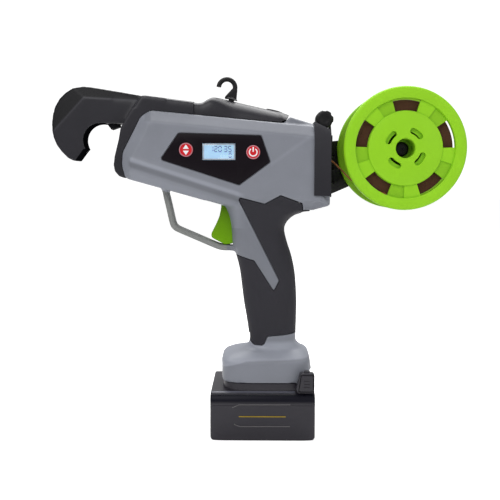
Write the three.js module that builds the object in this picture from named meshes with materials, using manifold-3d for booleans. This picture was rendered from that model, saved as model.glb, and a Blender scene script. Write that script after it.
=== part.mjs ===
// Electric vine tying tool. Millimetres, +Z up, +X towards the reel, the panel side towards -Y.
// The origin is the centre of the battery's base, on which the tool stands.
import * as THREE from "three";
import { mergeVertices } from "three/addons/utils/BufferGeometryUtils.js";
import Module from "manifold-3d";

const wasm = await Module();
wasm.setup();

// Clearances that all pieces share
const seat = 0.3; // between pieces that rest on each other
const running = 0.4; // round a piece that turns or slides
const overrun = 3; // how far a cut runs past what it cuts

// Battery pack and the dock that joins it to the foot
const battery = { length: 84.3, width: 75, height: 39, wall: 2.2, lid: 10 };
const batteryRound = { top: 8, foot: 3, end: 2 };
const cell = { count: 4, spacing: 0.5, bare: 0.8, sideRoom: 2.2, endRoom: 2.8 };
const cellBoard = { thickness: 1.6, sideRoom: 4.95, endRoom: 5.3 };
const dock = { lift: 6, front: 23.9, rear: 38.5, neckHalf: 18.5, flangeHalf: 22, ledge: 3.2, flange: 5.8 };
const ear = { length: 13, thickness: 6.2, rise: 16.5, setIn: 0.6, round: 2.5 };
const release = { length: 10.6, height: 12.4, thickness: 2, travel: 2.2, groove: 0.8 };
const labelRib = { height: 0.4, width: 1, length: 44 };
const labelShares = [0.41, 0.95];
const blade = { count: 3, pitch: 8, thickness: 0.8, length: 10, height: 2.4, plate: 2.2, slot: 2 };
const terminal = { halfWidth: 15, height: 5.2 };

// Foot, grip and head
const foot = { front: 34.1, length: 76, height: 35, halfWidth: 30.5, deck: 2.4 };
const grip = { depth: 44, height: 103.5, halfWidth: 17.5 };
const head = { ahead: 113.3, length: 167.3, height: 81, halfWidth: 27, bevel: 8, bevelDrop: 7, round: 4 };
const roof = { halfWidth: 16, chamfer: 4 };
const squareness = { foot: 5, grip: 2.6 };
const wall = 2.4;
const rubber = { thickness: 2, lap: 2.5 };
const seam = 0.3; // between the left and the right shells

// Nose with the tying jaw
const nose = { hookHalf: 9.4, frameHalf: 19, hookChamfer: 3, frameChamfer: 5, round: 3 };
const jaw = { radius: 13.8, grooveDepth: 4.9, grooveLip: 1, grooveHalf: 1.1 };
const plug = { halfWidth: 12, length: 9, height: 24, below: 17 };
const tooth = { halfWidth: 4 };

// Hood, hanging hook and clamp knob
const hood = { halfWidth: 17, rise: 13, wall: 2.4, badge: 0.8, badgeLength: 12, badgeHalf: 5 };
const hanger = { bar: 4, ring: 6.7, baseRadius: 4.6, rise: 10.5, shank: 2.4, sink: 2, tip: 1 };
const clip = { radius: 4.4, thickness: 1.2, drop: 3.8 };
const knob = { lobes: 6, radius: 7.2, waist: 5.9, width: 8, stud: 2, nut: 3.6, nutWidth: 3 };

// Guard, trigger and its switch
const guard = { halfWidth: 7.5, chamfer: 0.8, round: 5 };
const trigger = { halfWidth: 7, chamfer: 2, round: 3, pull: 5, pinRadius: 1.5 };
const spring = { radius: 2.9, wire: 0.4, width: 2.2, lowLeg: 3.2, highLeg: 4.5, room: 1 };
const limitSwitch = { length: 12, height: 10, halfWidth: 3.2, clear: 2 };

// Control panel
const panel = { thickness: 1.3, proud: 0.4, round: 1.2 };
const display = { length: 25.4, height: 12.4, glass: 1, rim: 1.6 };
const button = { radius: 5.6, proud: 0.7, travel: 0.8, stem: 2, flange: 0.9 };
const board = { thickness: 1.6, depth: 7.6, domeRadius: 2.4, domeHeight: 0.9 };

// Twisting drive
const twist = { moduleSize: 1.25, gearTeeth: 22, pinionTeeth: 10, faceWidth: 6 };
const rotor = { shaft: 4, radius: 6, length: 9, slotWidth: 2.6, slotDepth: 5 };
const twistMotor = { radius: 13.5, length: 42, shaft: 1.5, nose: 4, noseLength: 2 };
const gearPlate = { thickness: 2.4 };

// Feeding drive
const feed = { moduleSize: 1.25, rollerTeeth: 13, driveTeeth: 20, pinionTeeth: 13, faceWidth: 4 };
const roller = { radius: 7.8, halfWidth: 3, groove: 0.7, grooveHalf: 1.1, shaft: 2.5 };
const feedMotor = { radius: 12.5, length: 22, shaft: 1.5 };
const frame = { plate: 2, nearPlate: 4.2, boss: 6, back: 11 };

// Reel: bracket, arm, axle, spool and the wire on it
const bracket = { skin: 1.8, back: 2.4, length: 13.6 };
const arm = { base: 3.4, thickness: 5, clear: 0.8, hub: 14, tab: 4, ribs: 3, rib: 2 };
const reel = { behind: 58.5, half: 26.4, rim: 49, rimWidth: 10, rimThickness: 5.2, rimRound: 1.6 };
const web = { inner: 30, recess: 2, step: 1, disc: 0.5, windows: 5, lap: 0.6 };
const hub = { outer: 20, wall: 2, bore: 7.7, boreDepth: 18.4, narrow: 5.7, sleeve: 1.9 };
const kidney = { count: 4, inner: 12.2, outer: 17 };
const axle = { collar: 10, collarThickness: 0.5, cap: 3.4, capDome: 1, screw: 2.6 };
const strand = { out: 20, drop: 26, nearOut: 10, nearDrop: 16, inside: 8, straight: 3 };
const wire = { radius: 0.7, loops: 11, layerTop: 37.6, coreGap: 0.1, edge: 0.9 };
const tube = { bore: 1.5, wall: 0.5 };
const inlet = { radius: 5, lip: 1.2, bore: 1.6, lipRadius: 6.2 };

// Screws
const screw = { shank: 1.4, head: 2.7, headHeight: 2.2, seatAt: 9, length: 19, boss: 4.6, pilot: 1.7 };

// Steps of round forms
const corner = 2;
const small = 8;
const round = 12;
const ovalSteps = 14;
const hollowSteps = 8;
const fine = 30;
const bent = 16;
const six = 6;
const thinSides = 4;
const strandSteps = 52;

// Heights and places that follow from the sizes
const footBase = battery.height + dock.lift;
const gripBase = footBase + foot.height;
const headBase = gripBase + grip.height;
const headRear = head.length - head.ahead;
const parting = battery.height - battery.lid;

const footAt = (u, w) => [u * foot.length - foot.front, footBase + w * foot.height];
const gripAt = (u, w) => [u * grip.depth, gripBase + w * grip.height];
const headAt = (u, w) => [u * head.length - head.ahead, headBase + w * head.height];

// Outlines in the side view, as shares of the head's, the grip's and the foot's length and height.
// A third number is the corner's radius in units of the rounding that the piece names.
const headShares = [
  [0.016, 0.331, 1], [0.498, 0.056, 1], [0.88, -0.004, 1], [1, 0.063, 1], [1, 0.827, 1],
  [0.14, 0.999, 1.2], [0.094, 0.938, 1.6], [0.005, 0.586, 2], [0, 0.463, 2],
];
const roofShares = [[0.62, 0.4, 0], [1, 0.4, 0], [1, 0.811, 0.5], [0.921, 0.867, 0.5],
  [0.807, 0.937, 0.5], [0.72, 0.985, 0.5], [0.62, 0.985, 0]];
const hookShares = [
  [-0.117, 0.715, 0], [-0.025, 0.715, 0], [-0.02, 0.88, 0], [0.08, 1.0, 0], [0.097, 1.153, 0],
  [-0.018, 1.196, 1], [-0.164, 1.247, 3], [-0.267, 1.216, 4], [-0.325, 1.1, 4],
  [-0.354, 0.92, 5], [-0.345, 0.74, 5], [-0.276, 0.54, 2], [-0.235, 0.502, 1], [-0.192, 0.619, 0.6],
];
const frameShares = [
  [0.342, 0.78, 0], [0.342, 1.088, 0], [0.097, 1.153, 0.5], [0.068, 1.068, 1], [-0.004, 0.833, 1],
  [-0.015, 0.714, 1], [-0.035, 0.553, 1], [-0.041, 0.465, 1], [-0.036, 0.401, 1.5], [-0.015, 0.352, 1.5],
  [0.014, 0.332, 0.3], [0.08, 0.38, 0], [0.15, 0.78, 0],
];
const frameFront = [4, 11]; // the frame's corners along its front
const plugEndShares = [[0.2, 0.3], [0.2, 0.9]];
const toothShares = [[-0.088, 0.9, 0], [-0.028, 0.9, 0], [-0.0255, 0.851, 0], [-0.065, 0.822, 0],
  [-0.082, 0.868, 0]];
const hoodShares = [
  [0.344, 0.7, 0], [0.344, 1.086, 0], [0.366, 1.079, 1], [0.396, 1.094, 1], [0.423, 1.133, 1],
  [0.447, 1.14, 1], [0.506, 1.119, 1], [0.806, 0.972, 1], [0.787, 0.911, 1], [0.752, 0.878, 1.5], [0.7,
    0.7, 0],
];
const hoodTop = [1, 8]; // the hood's corners along its top
const panelShares = [[0.279, 0.769, 1], [0.668, 0.744, 1], [0.711, 0.491, 1], [0.565, 0.269, 1],
  [0.193, 0.516, 1]];
const boardShares = [[0.27, 0.72], [0.66, 0.32]];
const displayShare = [0.469, 0.59];
const adjustShare = [0.314, 0.609];
const powerShare = [0.631, 0.585];
const jawShare = [-0.117, 0.715];
const twistShare = [0, 0.66];
const gearShare = 0.271;
const guideShares = [[0.8, 0.519], [0.72, 0.535], [0.62, 0.66], [0.52, 0.79], [0.42, 0.87], [0.3, 0.925],
  [0.2, 0.932], [0.1, 0.932], [0.008, 0.932]];
const plateTubeShare = 0.62;
const hangerShare = [0.523, 1.123];
const hoodSlopeShares = [[0.506, 1.119], [0.806, 0.972]];
const badgeShare = [0.728, 1.01];
const knobShare = [0.976, 0.92];
const bracketFootShare = 0.16;
const bracketEarShare = 0.85;
const reelShare = 0.622;
const inletShare = 0.519;
const rollerShare = 0.857;
const armRootShares = [0.14, 0.72];
const screwShares = [[0.1, 0.37], [0.158, 0.81], [0.725, 0.78], [0.88, 0.142]];
const gripScrewShare = [0.14, 0.3];
const footScrewShare = [0.8, 0.5];
const noseScrewShare = [0.127, 1.055];

const gripShares = [
  [-0.077, -0.235, 0.632, 0.9], [0.116, -0.295, 0.641, 0.95],
  [0.271, -0.357, 0.645, 1], [0.528, -0.432, 0.602, 1.04],
  [0.647, -0.5, 0.541, 1.06], [0.739, -0.58, 0.47, 1.09], [0.821, -0.591, 0.423, 1.13],
  [0.895, -0.602, 0.43, 1.17], [0.975, -0.64, 0.62, 1.25], [1.082, -0.75, 0.88, 1.34],
];
const footShares = [
  [0, 0.006, 1, 0.97], [0.42, 0.002, 0.969, 0.98], [0.55, 0.015, 0.955, 0.91],
  [0.683, 0.07, 0.938, 0.76], [0.8, 0.147, 0.915, 0.655], [0.9, 0.262, 0.862, 0.57],
  [1.057, 0.309, 0.816, 0.525],
];
const rubberShares = [
  [-1.045, 0.653], [-0.491, 0.651], [-0.164, 0.613], [-0.12, 0.59], [0.207, 0.367], [0.314, 0.457],
  [-0.43, 1.092], [-0.411, 1.107], [0.034, 1.059], [0.323, 1.125], [0.705, 1.065], [0.723, 1.009],
  [1.364, 1.009], [1.364, 0.019], [0.623, 0.019], [0.116, 0], [0.075, -0.01], [0.027, -0.056],
  [-0.014, -0.07], [-0.159, -0.07], [-0.236, -0.046], [-1.045, -0.046],
];
const guardShares = [
  [-2.05, 1.33, 0], [-1.918, 1.174, 0.6], [-1.741, 0.889, 0.6], [-1.666, 0.847, 1], [-0.859, 0.7, 0.6],
  [-0.668, 0.685, 0.6], [-0.318, 0.657, 0], [-0.318, 0.705, 0], [-0.834, 0.725, 0.6], [-1.58, 0.863, 1],
  [-1.636, 0.889, 0.6], [-1.775, 1.33, 0],
];
const triggerShares = [
  [-0.78, 1.063, 0.3], [-0.78, 1.03, 0.5], [-0.814, 0.958, 1], [-0.875, 0.899, 1], [-0.97, 0.82, 0.6],
  [-0.965, 0.79, 0.6], [-0.718, 0.731, 0.8], [-0.614, 0.754, 0.8], [-0.409, 0.773, 0.5], [-0.409,
    1.024, 0.5],
  [-0.5, 1.11, 0.8], [-0.7, 1.11, 0.8],
];
const triggerPinShare = [-0.614, 1.072];
const switchShare = 0.9;

// Boolean work on closed meshes
function solid(geometry) {
  const bare = geometry.clone();
  bare.deleteAttribute("normal");
  bare.deleteAttribute("uv");
  const merged = mergeVertices(bare);
  const faces = [];
  for (let i = 0; i < merged.index.count; i += 3) {
    const [a, b, c] = merged.index.array.slice(i, i + 3);
    if (a !== b && b !== c && c !== a) faces.push([a, b, c]);
  }
  const made = fromFaces(merged, faces);
  return made.volume() < 0 ? fromFaces(merged, faces.map((face) => face.reverse())) : made;
}

function fromFaces(geometry, faces) {
  const vertProperties = geometry.attributes.position.array;
  return new wasm.Manifold(new wasm.Mesh({ numProp: 3, vertProperties,
    triVerts: new Uint32Array(faces.flat()) }));
}

const join = (...pieces) => pieces.reduce((all, piece) => all.add(piece));
const cut = (base, ...tools) => tools.reduce((left, tool) => left.subtract(tool), base);

// The main body of a cut piece, without the offcuts that fall away.
function largest(piece) {
  return piece.decompose().reduce((best, next) => (next.volume() > best.volume() ? next : best));
}

function geometryOf(piece) {
  const mesh = piece.getMesh();
  const position = new Float32Array(mesh.numVert * 3);
  for (let i = 0; i < mesh.numVert; i++) {
    position.set(mesh.vertProperties.subarray(i * mesh.numProp, i * mesh.numProp + 3), i * 3);
  }
  const geometry = new THREE.BufferGeometry();
  geometry.setAttribute("position", new THREE.BufferAttribute(position, 3));
  geometry.setIndex(new THREE.BufferAttribute(mesh.triVerts, 1));
  geometry.computeVertexNormals();
  return geometry;
}

// Plain blocks, rods and turned pieces
function block([x0, x1], [y0, y1], [z0, z1]) {
  const box = new THREE.BoxGeometry(x1 - x0, y1 - y0, z1 - z0);
  return solid(box.translate((x0 + x1) / 2, (y0 + y1) / 2, (z0 + z1) / 2));
}

function rod(radius, from, to, sides = round, endRadius = radius) {
  const start = new THREE.Vector3(...from);
  const end = new THREE.Vector3(...to);
  const turn = new THREE.Quaternion();
  turn.setFromUnitVectors(new THREE.Vector3(0, 1, 0), end.clone().sub(start).normalize());
  const bar = new THREE.CylinderGeometry(endRadius, radius, start.distanceTo(end), sides);
  const middle = start.add(end).multiplyScalar(0.5);
  return solid(bar.applyQuaternion(turn).translate(middle.x, middle.y, middle.z));
}

// A rod across the tool at a place in the side view.
const pin = (radius, [x, z], [y0, y1], sides = round) => rod(radius, [x, y0, z], [x, y1, z], sides);

// A profile of [radius, y] pairs turned round the Y axis.
function turned(profile, sides = round) {
  const points = [...profile, profile[0]].map(([r, y]) => new THREE.Vector2(r, y));
  return solid(new THREE.LatheGeometry(points, sides));
}

// Outlines: corners are [x, y, radius], shrunk by an inset and then rounded
function insetCorner(before, here, after, inset) {
  const into = new THREE.Vector2(here[0] - before[0], here[1] - before[1]).normalize();
  const out = new THREE.Vector2(after[0] - here[0], after[1] - here[1]).normalize();
  const push = inset / (1 + into.dot(out));
  const place = new THREE.Vector2(here[0] - (into.y + out.y) * push, here[1] + (into.x + out.x) * push);
  const convex = into.cross(out) > 0;
  const radius = here[2] ? Math.max(here[2] + (convex ? -inset : inset), 0) : 0;
  return { place, radius, points: here[2] ? corner : 0 };
}

function filletPoints(before, here, after) {
  if (!here.points) return [here.place];
  const back = before.place.clone().sub(here.place);
  const on = after.place.clone().sub(here.place);
  const room = 0.45 * Math.min(back.length(), on.length());
  back.normalize();
  on.normalize();
  const half = Math.acos(THREE.MathUtils.clamp(back.dot(on), -1, 1)) / 2;
  const reach = Math.min(here.radius / Math.tan(half), room);
  const start = here.place.clone().addScaledVector(back, reach);
  const end = here.place.clone().addScaledVector(on, reach);
  const arc = new THREE.QuadraticBezierCurve(start, here.place, end);
  return arc.getPoints(here.points);
}

function outline(corners, inset = 0) {
  const flat = corners.map(([x, y]) => new THREE.Vector2(x, y));
  const way = THREE.ShapeUtils.isClockWise(flat) ? corners.slice().reverse() : corners;
  const at = (list, i) => list.at(i % list.length);
  const moved = way.map((here, i) => insetCorner(at(way, i - 1), here, at(way, i + 1), inset));
  return moved.flatMap((here, i) => filletPoints(at(moved, i - 1), here, at(moved, i + 1)));
}

// A closed skin through outlines of equal count; lift puts a point of a level into space.
function skin(levels, lift) {
  const count = levels[0].points.length;
  const position = levels.flatMap(({ points, at }) => points.flatMap((p) => lift(p.x, p.y, at)));
  const index = [];
  for (let level = 0; level < levels.length - 1; level++) {
    for (let i = 0; i < count; i++) {
      const [a, b] = [level * count + i, level * count + ((i + 1) % count)];
      index.push(a, b, b + count, a, b + count, a + count);
    }
  }
  const last = (levels.length - 1) * count;
  for (const [a, b, c] of THREE.ShapeUtils.triangulateShape(levels[0].points, [])) index.push(c, b, a);
  for (const [a, b, c] of THREE.ShapeUtils.triangulateShape(levels.at(-1).points, [])) {
    index.push(last + a, last + b, last + c);
  }
  const geometry = new THREE.BufferGeometry();
  geometry.setAttribute("position", new THREE.Float32BufferAttribute(position, 3));
  geometry.setIndex(index);
  return solid(geometry);
}

const sideways = (x, z, y) => [x, y, z];
const lengthways = (y, z, x) => [x, y, z];
const upwards = (x, y, z) => [x, y, z];

// A slab of an outline between two levels, with both edges chamfered.
function slab(corners, [low, high], { chamfer = 0, drop = chamfer, inset = 0, lift = sideways } = {}) {
  const rim = outline(corners, inset);
  if (!chamfer) return skin([{ points: rim, at: low }, { points: rim, at: high }], lift);
  const face = outline(corners, inset + chamfer);
  return skin([
    { points: face, at: low }, { points: rim, at: low + drop },
    { points: rim, at: high - drop }, { points: face, at: high },
  ], lift);
}

const scaled = (shares, at, unit) => shares.map(([u, w, r = 0]) => [...at(u, w), r * unit]);

// Rounded sections stacked up from rows of height, front, rear and half width.
function ovalAt(front, rear, half, square, steps) {
  const points = [];
  const power = 2 / square;
  for (let i = 0; i < steps; i++) {
    const angle = ((i + 0.5) / steps) * 2 * Math.PI;
    const [c, s] = [Math.cos(angle), Math.sin(angle)];
    const x = (front + rear) / 2 + ((rear - front) / 2) * Math.sign(c) * Math.abs(c) ** power;
    points.push(new THREE.Vector2(x, half * Math.sign(s) * Math.abs(s) ** power));
  }
  return points;
}

// Outer forms of head, grip and foot, each shrunk by an inset
function headForm(inset) {
  const corners = scaled(headShares, headAt, head.round);
  const ease = inset * Math.tan(Math.PI / 8);
  const levels = [
    { points: outline(corners, head.bevel + ease), at: inset - head.halfWidth },
    { points: outline(corners, inset), at: head.bevelDrop + ease - head.halfWidth },
    { points: outline(corners, inset), at: head.halfWidth - head.bevelDrop - ease },
    { points: outline(corners, head.bevel + ease), at: head.halfWidth - inset },
  ];
  const side = roof.halfWidth - inset;
  const ridge = slab(scaled(roofShares, headAt, head.round), [-side, side], { chamfer: roof.chamfer,
    inset });
  return join(skin(levels, sideways), ridge);
}

function gripForm(inset, steps = ovalSteps) {
  const levels = gripShares.map(([w, front, rear, half]) => {
    const [x0, z] = gripAt(front, w);
    const points = ovalAt(x0 + inset, gripAt(rear, w)[0] - inset, half * grip.halfWidth - inset,
      squareness.grip, steps);
    return { points, at: z };
  });
  return skin(levels, upwards);
}

function footForm(inset, steps = ovalSteps) {
  const levels = footShares.map(([w, front, rear, half], i) => {
    const [x0, z] = footAt(front, w);
    const square = THREE.MathUtils.lerp(squareness.foot, squareness.grip, i / (footShares.length - 1));
    const points = ovalAt(x0 + inset, footAt(rear, w)[0] - inset, half * foot.halfWidth - inset,
      square, steps);
    return { points, at: z };
  });
  return skin(levels, upwards);
}

const outerForm = (inset, steps) => join(headForm(inset), gripForm(inset, steps), footForm(inset, steps));

// Places that pieces share
const dockTop = footBase + dock.ledge + seat + dock.flange;
const deckTop = dockTop + seat + foot.deck;
const jawCentre = headAt(...jawShare);
const twistAxis = headAt(...twistShare)[1];
const twistDistance = (twist.moduleSize * (twist.gearTeeth + twist.pinionTeeth)) / 2;
const gearX = headAt(gearShare, 0)[0];
const twistEnd = headAt(-0.008, 0)[0];
const plateX = gearX + twist.faceWidth / 2 + 2 * running + gearPlate.thickness / 2;
const wireHeight = headAt(0, inletShare)[1];
const rollerX = headAt(rollerShare, 0)[0];
const rollerDistance = feed.moduleSize * feed.rollerTeeth;
const feedAxis = [rollerX, wireHeight - rollerDistance / 2];
const idlerAxis = [rollerX, wireHeight + rollerDistance / 2];
const feedDistance = (feed.moduleSize * (feed.driveTeeth + feed.pinionTeeth)) / 2;
const feedAngle = (40 * Math.PI) / 180;
const motorAxis = [
  feedAxis[0] - feedDistance * Math.cos(feedAngle), feedAxis[1] - feedDistance * Math.sin(feedAngle),
];
const bracketFront = headRear - bracket.length;
const bracketBottom = headAt(0, bracketFootShare)[1];
const reelCentre = [headRear + reel.behind, headAt(0, reelShare)[1]];
const knobCentre = headAt(...knobShare);
const pinAt = gripAt(...triggerPinShare);
const panelFace = -head.halfWidth - panel.proud;
const panelBack = panelFace + panel.thickness;
const boardFront = -head.halfWidth + board.depth - board.thickness;
const armInner = reel.half + arm.clear;

// Half spaces on the two sides of the seam
const reach = 2 * head.length;
const leftSpace = block([-reach, reach], [-reach, -seam / 2], [-reach, reach]);
const rightSpace = block([-reach, reach], [seam / 2, reach], [-reach, reach]);

const meshes = [];
function part(name, piece, [color, roughness, metalness = 0]) {
  const mesh = new THREE.Mesh(geometryOf(piece), new THREE.MeshStandardMaterial({ color, roughness,
    metalness }));
  mesh.name = name;
  meshes.push(mesh);
  return mesh;
}

// Finishes
const grey = [0x80838c, 0.45];
const dark = [0x303036, 0.4];
const black = [0x1c1a1e, 0.5];
const softBlack = [0x37363c, 0.8];
const green = [0x8ccd2d, 0.4];
const triggerGreen = [0x69a00a, 0.45];
const packBlack = [0x3c3a40, 0.55];
const steel = [0xb4b6ba, 0.3, 0.9];
const brass = [0xb89a55, 0.35, 0.9];
const boardGreen = [0x1f5a38, 0.6];
const red = [0xc81923, 0.4];
const clearBlue = [0xb9dcfa, 0.1];
const strandBrown = [0x8a3c20, 0.6];
const rollBrown = [0x3c1e14, 0.8];

// Battery pack
function packForm(inset) {
  const half = battery.width / 2;
  const section = [
    [-half, 0, batteryRound.foot], [half, 0, batteryRound.foot],
    [half, battery.height, batteryRound.top], [-half, battery.height, batteryRound.top],
  ];
  const end = battery.length / 2 - inset;
  return slab(section, [-end, end], { chamfer: batteryRound.end, inset, lift: lengthways });
}

// The raised dock block that slides between the foot's ledges, shrunk by an inset.
function dockBlock(inset) {
  const base = battery.height - battery.wall - seat;
  const shoulder = footBase + dock.ledge + seat;
  const along = [inset - dock.front, dock.rear - inset];
  const across = (half) => [inset - half, half - inset];
  const neck = block(along, across(dock.neckHalf), [base - inset, shoulder + inset]);
  return join(neck, block(along, across(dock.flangeHalf), [shoulder + inset, dockTop - inset]));
}

function eachSide(make) {
  return [-1, 1].map((side) => make(side));
}

const earRear = battery.length / 2 - ear.setIn;
const earMiddle = [earRear - ear.length / 2, battery.height + ear.rise / 2 - ear.setIn];
const span = (a, b) => [Math.min(a, b), Math.max(a, b)];

function earForm(side) {
  const [x0, z0] = [earRear - ear.length, parting + 2 * seat];
  const corners = [
    [x0 - ear.round, z0, 0], [earRear, z0, 0], [earRear, battery.height + ear.rise, ear.round],
    [x0 + ear.setIn, battery.height + ear.rise, ear.round],
  ];
  const outer = battery.width / 2;
  return slab(corners, span(side * (outer - ear.thickness), side * outer));
}

// The pocket that a release button slides in, or with a negative ease the button itself.
function releaseForm(side, ease, depth) {
  const [x, z] = earMiddle;
  const outer = battery.width / 2;
  const long = release.length / 2 + ease;
  const high = release.height / 2 + ease;
  const across = span(side * (outer - depth), side * (outer + (ease > 0 ? overrun : 0)));
  return block([x - long, x + long], across, [z - high, z + high]);
}

function batteryLid() {
  const blades = bladePlaces().map((y) => {
    const across = [y - blade.slot / 2, y + blade.slot / 2];
    const up = [dockTop - dock.flange, dockTop - battery.wall / 2];
    return block([-dock.front - overrun, battery.wall * 2 - dock.front], across, up);
  });
  const shell = cut(packForm(0), block([-reach, reach], [-reach, reach], [-reach, parting + seat / 2]));
  const body = join(shell, dockBlock(0), ...eachSide(earForm));
  const depth = release.thickness + release.travel + running;
  const pockets = eachSide((side) => releaseForm(side, running, depth));
  return cut(body, packForm(battery.wall), dockBlock(battery.wall), ...blades, ...pockets);
}

function batteryCase() {
  const shell = cut(packForm(0), block([-reach, reach], [-reach, reach], [parting - seat / 2, reach]));
  const face = -battery.width / 2;
  const ribs = labelShares.map((share) => {
    const z = share * parting;
    const high = [z - labelRib.width / 2, z + labelRib.width / 2];
    return block([-labelRib.length / 2, labelRib.length / 2], [face - labelRib.height, face + seat], high);
  });
  return cut(join(shell, ...ribs), packForm(battery.wall));
}

function releaseButton(side) {
  const body = releaseForm(side, 0, release.thickness);
  const [x, z] = earMiddle;
  const outer = side * (battery.width / 2);
  const cuts = [-1, 0, 1].map((row) => {
    const middle = z + row * release.groove * 3;
    const high = [middle - release.groove / 2, middle + release.groove / 2];
    const across = span(outer - side * release.groove, outer + side * overrun);
    return block([x - release.length / 4, x + release.length / 4], across, high);
  });
  return cut(body, ...cuts);
}

// Four round cells side by side fill the pack's length and width inside its wall.
const cellLength = battery.width - 2 * (battery.wall + cell.endRoom);
const cellRoom = battery.length - 2 * (battery.wall + cell.sideRoom) - (cell.count - 1) * cell.spacing;
const cellRadius = cellRoom / (2 * cell.count);
const cellHeight = battery.wall + seat + cellRadius;

function cellForm(place) {
  const x = (place - (cell.count - 1) / 2) * (2 * cellRadius + cell.spacing);
  const half = cellLength / 2;
  const can = pin(cellRadius, [x, cellHeight], [-half, half - cell.bare]);
  return join(can, pin(cellRadius / 3, [x, cellHeight], [half - 2 * cell.bare, half]));
}

function bladePlaces() {
  return Array.from({ length: blade.count }, (_, i) => (i - (blade.count - 1) / 2) * blade.pitch);
}

// Cell board with the contact tower that stands up into the dock block.
function cellBoardForm() {
  const z = cellHeight + cellRadius + seat;
  const long = battery.length / 2 - battery.wall - cellBoard.sideRoom;
  const wide = battery.width / 2 - battery.wall - cellBoard.endRoom;
  const plate = block([-long, long], [-wide, wide], [z, z + cellBoard.thickness]);
  const front = blade.length + blade.plate + seat - dock.front;
  const half = terminal.halfWidth - battery.wall;
  const tower = block([front, front + terminal.height], [-half, half], [z, dockTop - 2 * battery.wall]);
  return join(plate, tower);
}

function terminalForm() {
  const back = -dock.front - 2 * seat;
  const top = dockTop - seat;
  const plate = block([back - blade.plate, back], [-terminal.halfWidth, terminal.halfWidth],
    [top - terminal.height, top]);
  const blades = bladePlaces().map((y) => {
    const across = [y - blade.thickness / 2, y + blade.thickness / 2];
    const middle = dockTop - battery.wall - seat - blade.height / 2;
    return block([back - seat, back + blade.length], across, [middle - blade.height / 2,
      middle + blade.height / 2]);
  });
  return join(plate, ...blades);
}

// Housing shells
const rubberHeights = [Math.min, Math.max].map((pick) => pick(...rubberShares.map(([, w]) => w)));
const rubberPrism = (grow) => {
  const corners = rubberShares.map(([u, w]) => [...gripAt(u, w), 0]);
  return slab(corners, [-reach, reach], { inset: -grow });
};

function dockCavity() {
  const shoulder = footBase + dock.ledge;
  const front = -dock.front - 2 * seat - blade.plate - seat;
  const neck = dock.neckHalf + running;
  const flange = dock.flangeHalf + running;
  return join(
    block([-dock.front - running, reach], [-neck, neck], [footBase - overrun, shoulder + seat]),
    block([front, reach], [-flange, flange], [shoulder, dockTop + seat]),
  );
}

function triggerPocket() {
  const half = trigger.halfWidth + running;
  const corners = triggerShares.map(([u, w]) => [...gripAt(u, w), 0]);
  const swing = [-overrun, 0, trigger.pull].map((shift) => {
    const moved = corners.map(([x, z, r]) => [x + shift, z, r]);
    return slab(moved, [-half, half], { inset: -2 * running });
  });
  return join(...swing);
}

function noseOpening(grow) {
  const [front] = headAt(0, 0);
  const half = plug.halfWidth + grow;
  const low = twistAxis - plug.below - grow;
  const along = [front - overrun, front + plug.length + grow];
  return slab([[along[0], low, 0], [along[1], low, 0], [along[1], low + plug.height + 2 * grow, 0],
    [along[0], low + plug.height + 2 * grow, 0]], [-half, half]);
}

const guideCurve = new THREE.CatmullRomCurve3(
  guideShares.map(([u, w]) => new THREE.Vector3(headAt(u, w)[0], 0, headAt(u, w)[1])),
);

function pipe(curve, radius, steps, sides = six) {
  const shape = new THREE.Shape(new THREE.EllipseCurve(0, 0, radius, radius).getPoints(sides).slice(0, -1));
  return solid(new THREE.ExtrudeGeometry(shape, { extrudePath: curve, steps, bevelEnabled: false }));
}

function screwPlaces() {
  return [...screwShares.map(([u, w]) => headAt(u, w)), gripAt(...gripScrewShare),
    footAt(...footScrewShare)];
}

function housingForm() {
  const [low, high] = rubberHeights.map((w) => gripAt(0, w)[1]);
  const thick = block([-reach, reach], [-reach, reach], [low - rubber.lap, high + rubber.lap]);
  const inner = rubber.thickness + wall;
  const hollow = join(
    cut(outerForm(wall, hollowSteps), thick), headForm(inner), gripForm(inner, hollowSteps),
  );
  const solidFoot = block([-reach, reach], [-reach, reach], [-reach, deckTop]);
  const bosses = screwPlaces().map((place) => pin(screw.boss, place, [-reach, reach], six));
  const core = outerForm(wall / 2, hollowSteps);
  const shell = cut(outerForm(0), cut(hollow, solidFoot));
  const filled = join(shell, ...bosses.map((boss) => boss.intersect(core)));
  return cut(
    filled, cut(rubberPrism(seat), outerForm(rubber.thickness + seat)), dockCavity(), triggerPocket(),
    noseOpening(seat), pipe(guideCurve, tube.bore + tube.wall + running, round),
    pin(trigger.pinRadius + seat / 2, pinAt, [-screw.seatAt - seat, screw.seatAt + seat]),
    block([headRear - bracket.back - seat, reach], [-reach, reach], [bracketBottom - seat, reach]),
    rod(inlet.radius + seat, [bracketFront, 0, wireHeight], [headRear + overrun, 0, wireHeight]),
    pin(knob.radius + 2 * running, knobCentre, [-reach, reach]),
    ...screwPlaces().map(([x, z]) => screwHole([x, z])),
  );
}

function screwHole([x, z]) {
  return join(
    pin(screw.head + seat, [x, z], [screw.seatAt, reach], small),
    pin(screw.pilot, [x, z], [screw.seatAt - screw.length, screw.seatAt + seat], six),
  );
}

function screwForm([x, z], seatAt = screw.seatAt) {
  const top = seatAt + seat;
  const slot = block([x - screw.head, x + screw.head], [top + screw.headHeight / 2,
    top + screw.headHeight + seat],
    [z - screw.shank / 3, z + screw.shank / 3]);
  const body = join(
    pin(screw.head, [x, z], [top, top + screw.headHeight], small),
    pin(screw.shank, [x, z], [top + seat - screw.length, top + seat], six),
  );
  return cut(body, slot);
}

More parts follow.
